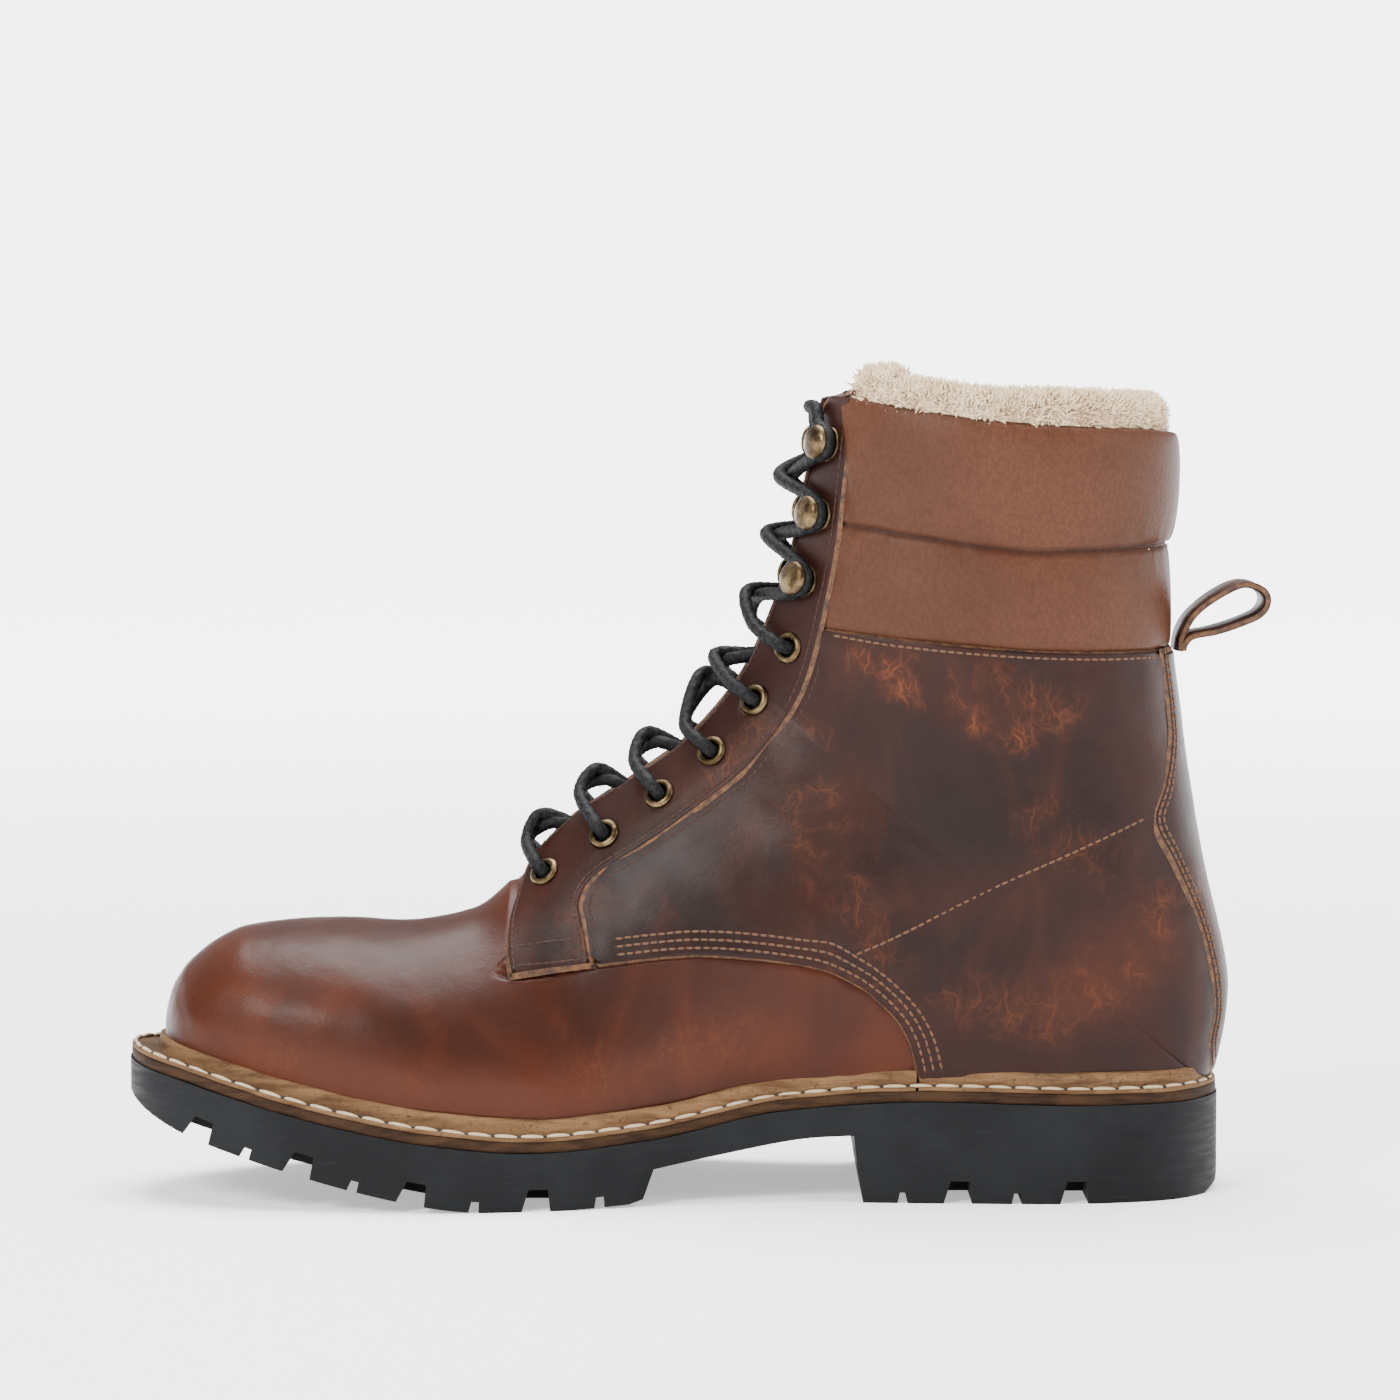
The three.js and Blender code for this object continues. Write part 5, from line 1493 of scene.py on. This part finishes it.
def lathe(name, parts, place, side, materials):
    """A turned fitting on the face. parts is a list of (profile of radius and height, material number)."""
    u, w = locate([place], side)[0]
    foot, normal = face_point(u, w), face_normal(u, w)
    across = unit(np.cross(normal, [0, 0, 1.0]))
    up = np.cross(across, normal)
    points, faces, slots = [], [], []
    for profile, slot in parts:
        first = len(points)
        for r, h in profile:
            for a in np.linspace(0, 2 * np.pi, TURNS, endpoint=False):
                points.append(foot + normal * h + (across * math.cos(a) + up * math.sin(a)) * r)
        new = [tuple(i + first for i in f) for f in grid_faces(len(profile), TURNS, closed_columns=True)]
        faces += new
        slots += [slot] * len(new)
    obj = solid_mesh(name, points, faces, materials, slots)
    return weld(obj)


def build_metal(side, tag):
    """Eyelets and hooks of one side, as turned sections of radius and height."""
    top = EYESTAY_LIFT
    ring = [(2.55, -2.0), (2.55, top + 0.1), (2.62, top + 0.55), (2.88, top + 0.85), (3.25, top + 0.98),
            (3.7, top + 0.92), (4.2, top + 0.66), (4.5, top + 0.3), (4.65, top - 0.1), (4.45, top - 0.2)]
    for k, place in enumerate(EYELETS):
        obj = lathe(f"eyelet_ring_{tag}_{k + 1}", [(ring, 0)], place, side, [BRASS])
        piece(obj, "boot", [f"eyelet_{tag}_{k + 1}"])
    base = [(0.01, top + 0.5), (3.9, top + 0.5), (4.5, top + 0.42), (4.75, top + 0.1), (4.75, top - 0.3)]
    rim = [(4.45, top + 0.40), (4.6, top + 0.62), (4.85, top + 0.55), (4.98, top + 0.2), (4.98, top - 0.3)]
    post = [(2.3, top + 0.4), (1.7, top + 0.9), (1.6, top + 3.0), (1.9, top + 3.9), (3.2, top + 4.3)]
    cap = [(1.8, top + 4.0), (4.2, top + 4.05), (4.8, top + 4.3), (5.0, top + 4.7), (4.85, top + 5.15),
           (4.3, top + 5.7), (3.2, top + 6.2), (1.7, top + 6.5), (0.01, top + 6.6)]
    for k, place in enumerate(HOOKS):
        obj = lathe(f"hook_stud_{tag}_{k + 1}", [(base, 1), (rim, 0), (post, 1), (cap, 0)], place, side,
                    [BRASS, GUNMETAL])
        piece(obj, "boot", [f"hook_{tag}_{k + 1}"])


UNDER_EYESTAY = -4.5
LACE_RADIUS = 1.9
LACE_SIDES = 16
LACE_STEPS = 2300

# How high the upper and the lower half of the lace cross, between the eyelets and between the hooks.
EYELET_CROSSING = (5.6, 2.0)
HOOK_CROSSING = (6.0, 2.4)

# The five points by which the lace rounds a hook's stud: up along the throat and back from it.
ROUND_STUD = ((-5, -3), (-3, 1.9), (0, 3.6), (3, 1.9), (5, -3))

# The lace's end, from the top hook over the throat's edge and down behind the eyestay: stations above the
# hook, distance back from the edge, and height above the face.
TAIL = [
    (0.26, 4.5, 2.8), (0.27, 0.5, 2.6), (0.25, -2.4, 0), (0.18, -1.2, -3.6), (0.05, 2, UNDER_EYESTAY),
    (-0.4, 3.5, UNDER_EYESTAY), (-0.9, 3.5, UNDER_EYESTAY), (-1.4, 3.5, UNDER_EYESTAY),
]


def raised(height):
    """Heights above the face, raised by the eyestay where the lace runs on top of it."""
    return height + (EYESTAY_LIFT - 0.3) * ramp(-0.5, 1.5, height)


def on_lace(u, across, height):
    """A point of the lace: a station, mm across the throat, and a height above the face."""
    u = float(u)
    return lifted(np.array([u]), angle_across(np.array([u]), np.array([across])), [raised(height)])[0]


def half_at(u):
    """Half the width of the throat."""
    return float(throat_half_width(np.array([u]))[0])


def beside_stud(place, hand, up, back, height):
    """A point of the lace near a hook."""
    u, w = place
    foot = face_point(u, w)
    normal = face_normal(u, w)
    upward = face_point(u + 0.1, w) - face_point(u - 0.1, w)
    upward = unit(upward - normal * (upward @ normal))
    backward = np.cross(normal, upward) * hand
    return foot + upward * up + backward * back + normal * raised(height)


def lace_route(side):
    """One half of the lace, from the lowest eyelets up across the throat to the tucked end."""
    spots, hooks = locate(EYELETS), locate(HOOKS)
    points = []
    hand = side
    for i, (u, v) in enumerate(spots):
        hole, edge = abs(face_point(u, v)[1]), half_at(u)
        if i == 0:
            points += [on_lace(u - 0.05, 0, UNDER_EYESTAY), on_lace(u, hand * (hole - 5), UNDER_EYESTAY)]
        points += [lifted(np.array([u]), np.array([hand * v]), [h])[0] for h in (-3.3, raised(1.9))]
        points += [on_lace(u, hand * (hole - 1.9), 3.9), on_lace(u + 0.05, hand * (edge + 1), 4.3)]
        more = i + 1 < len(spots)
        following = spots[i + 1][0] if more else hooks[0][0]
        rise = EYELET_CROSSING[0 if (i % 2 == 0) == (side < 0) else 1]
        points.append(on_lace(mix(u, following, 0.45), 0, rise))
        hand = -hand
        if more:
            upper, brink = abs(face_point(following, spots[i + 1][1])[1]), half_at(following)
            points += [on_lace(mix(u, following, 0.72), hand * brink * 0.4, -3.2),
                       on_lace(mix(u, following, 0.88), hand * (brink - 0.5), UNDER_EYESTAY - 0.4),
                       on_lace(following, hand * (upper - 2.4), UNDER_EYESTAY)]
    for i, (u, v) in enumerate(hooks):
        for up, back in ROUND_STUD:
            points.append(beside_stud((u, hand * v), hand, up, back, 3.0))
        if i + 1 < len(hooks):
            rise = HOOK_CROSSING[0 if (i % 2 == 0) == (side < 0) else 1]
            points.append(on_lace(mix(u, hooks[i + 1][0], 0.5), 0, rise))
            hand = -hand
    for up, back, height in TAIL:
        u = hooks[-1][0] + up
        points.append(on_lace(u, hand * (half_at(u) + back), height))
    return points


def build_lace():
    """One braided cord along the route, carried round without twist."""
    route = lace_route(-1)[::-1] + lace_route(1)[1:]
    line = smooth_line(route, LACE_STEPS)
    tangent = unit(np.gradient(line, axis=0))
    side = np.zeros_like(line)
    side[0] = unit(np.cross(tangent[0], [0, 1.0, 0.2]))
    for k in range(1, len(line)):
        side[k] = unit(side[k - 1] - tangent[k] * (side[k - 1] @ tangent[k]))
    other = np.cross(tangent, side)
    turns = np.linspace(0, 2 * np.pi, LACE_SIDES, endpoint=False)
    phase = travelled(line)[:, None] * 1.55
    plait = np.maximum(np.cos(4 * turns[None, :] + phase), np.cos(4 * turns[None, :] - phase))
    radius = LACE_RADIUS - 0.12 + 0.17 * plait
    ends = np.minimum(np.arange(len(line)), np.arange(len(line))[::-1])
    radius = radius * np.sqrt(np.clip((ends[:, None] + 0.4) / 3, 0, 1))
    points = line[:, None, :] + side[:, None, :] * (radius * np.cos(turns))[..., None]
    points = points + other[:, None, :] * (radius * np.sin(turns))[..., None]
    faces = grid_faces(len(line), LACE_SIDES, closed_columns=True)
    obj = solid_mesh("braided_lace", points.reshape(-1, 3), faces, [BRAID])
    piece(obj, "boot", ["lace"])


LOOP_PATH = [
    (136.9, 154.5), (137.5, 158.8), (140.4, 164.3), (147.0, 169.9), (154.6, 173.5), (160.2, 172.1),
    (161.9, 168.6), (158.9, 164.5), (148.0, 160.4), (140.8, 158.9), (138.4, 156.8), (137.7, 154.7),
]
LOOP_HALF_WIDTH = 10
STRAP = 2.0


def build_loop():
    """A strap of doubled leather, bent into a loop."""
    line = smooth_line(LOOP_PATH, 150)
    tangent = unit(np.gradient(line, axis=0))
    outward = np.stack([-tangent[:, 1], tangent[:, 0]], -1)
    half, thick = LOOP_HALF_WIDTH, STRAP / 2
    section = [(-half, -0.6), (-half + 0.35, -1), (0, -1), (half - 0.35, -1), (half, -0.6), (half, 0.6),
               (half - 0.35, 1), (0, 1), (-half + 0.35, 1), (-half, 0.6)]
    columns = []
    for y, t in section:
        flat = line + outward * (t * thick)
        columns.append(np.column_stack([flat[:, 0], np.full(len(flat), float(y)), flat[:, 1]]))
    points = np.stack(columns, 1).reshape(-1, 3)
    points += jitter(points, 6, 0.2)
    faces = grid_faces(len(line), len(section), closed_columns=True)
    slots = [1 if (k % len(section)) in (4, 9) else 0 for k in range(len(faces))]
    values = {"tone": np.full(len(points), 0.45), "pull": np.full(len(points), 0.25)}
    obj = solid_mesh("pull_strap", points, faces, [QUARTER, EDGE], slots, attributes=values)
    weld(obj)
    piece(obj, "loop", ["pull_loop"])


# ------------------------------------------------------------------ assembly

for hand_side, hand_tag in SIDES:
    build_quarter(hand_side, hand_tag)
    build_eyestay(hand_side, hand_tag)
    build_metal(hand_side, hand_tag)
build_backstay()
build_vamp()
build_collar()
build_lining()
build_tongue_layer("tongue_leather", 0, 1.8, VAMP, "tongue", 19.2)
build_tongue_layer("tongue_fleece", 2.1, 7, FLEECE, "tongue_lining", 19.15, 0.6)
build_welt()
build_outsole()
build_lace()
build_loop()
stitching, needle_hole_shades = sew("upper_stitching", ROWS_SEWN)
piece(stitching, "boot")
piece(needle_hole_shades, "boot")


# ------------------------------------------------------------------ floor, light and camera

def area_light(name, place, target, size, power, colour=(1, 1, 1)):
    """A rectangular lamp at a place in metres, turned to its target."""
    data = bpy.data.lights.new(name, "AREA")
    data.shape = "RECTANGLE"
    data.size, data.size_y = size
    data.energy = power
    data.color = colour
    lamp = bpy.data.objects.new(name, data)
    bpy.context.scene.collection.objects.link(lamp)
    lamp.location = Vector(place)
    lamp.rotation_euler = (Vector(target) - Vector(place)).to_track_quat("-Z", "Y").to_euler()
    return lamp


# Glow of the floor beside the boot and far from it, and of the sky overhead and at the horizon. The floor's
# weaker glow beside the boot is painted shade round it.
FLOOR_GLOW = (0.55, 4.8)
SKY_GLOW = (0.75, 5.6)


def white_floor(tree, surface):
    """A white sweep that brightens with distance, so that it meets the sky without a line; its dimmer glow
    beside the boot is painted shade round it.
    """
    away = put(tree, "ShaderNodeVectorMath", {"operation": "LENGTH"}, in_0=place_of(tree)).outputs["Value"]
    dress(surface, Base_Color=(0.93, 0.935, 0.95, 1), Roughness=0.9, Specular_IOR_Level=0.0)
    # Painted shade: the glow is weakest beside the boot.
    dress(surface, Emission_Color=(1, 1, 1, 1), Emission_Strength=banded(tree, away, 0.25, 2.6, *FLOOR_GLOW))


bpy.ops.mesh.primitive_plane_add(size=60, location=(0, 0, 0))
floor = bpy.context.object
floor.name = "floor"
floor.data.materials.append(shader("white_floor", white_floor))

world = bpy.data.worlds.new("studio")
bpy.context.scene.world = world
world.use_nodes = True
sky = world.node_tree
direction = put(sky, "ShaderNodeTexCoord").outputs["Generated"]
height = put(sky, "ShaderNodeSeparateXYZ", Vector=direction).outputs[2]
glow_level = banded(sky, height, 0.16, 0.075, *SKY_GLOW)
dress(sky.nodes["Background"], Color=(0.985, 0.99, 1.0, 1), Strength=glow_level)
area_light("key", (-0.9, -1.3, 1.2), (-0.02, 0, 0.1), (0.6, 0.6), 40, (1.0, 0.985, 0.96))
area_light("rim", (1.3, -0.5, 0.9), (0, 0, 0.12), (0.5, 0.9), 12)
area_light("top", (0.0, 0.30, 1.7), (0, 0, 0), (1.3, 1.3), 82)

view = bpy.data.cameras.new("camera")
camera = bpy.data.objects.new("camera", view)
bpy.context.scene.collection.objects.link(camera)
camera.location = Vector((0, -1.45, 0.23))
camera.rotation_euler = (Vector((0, 0, 0.14)) - camera.location).to_track_quat("-Z", "Y").to_euler()
view.lens, view.sensor_width = 130, 36
view.clip_end = 50
bpy.context.scene.camera = camera

bpy.context.view_layer.update()
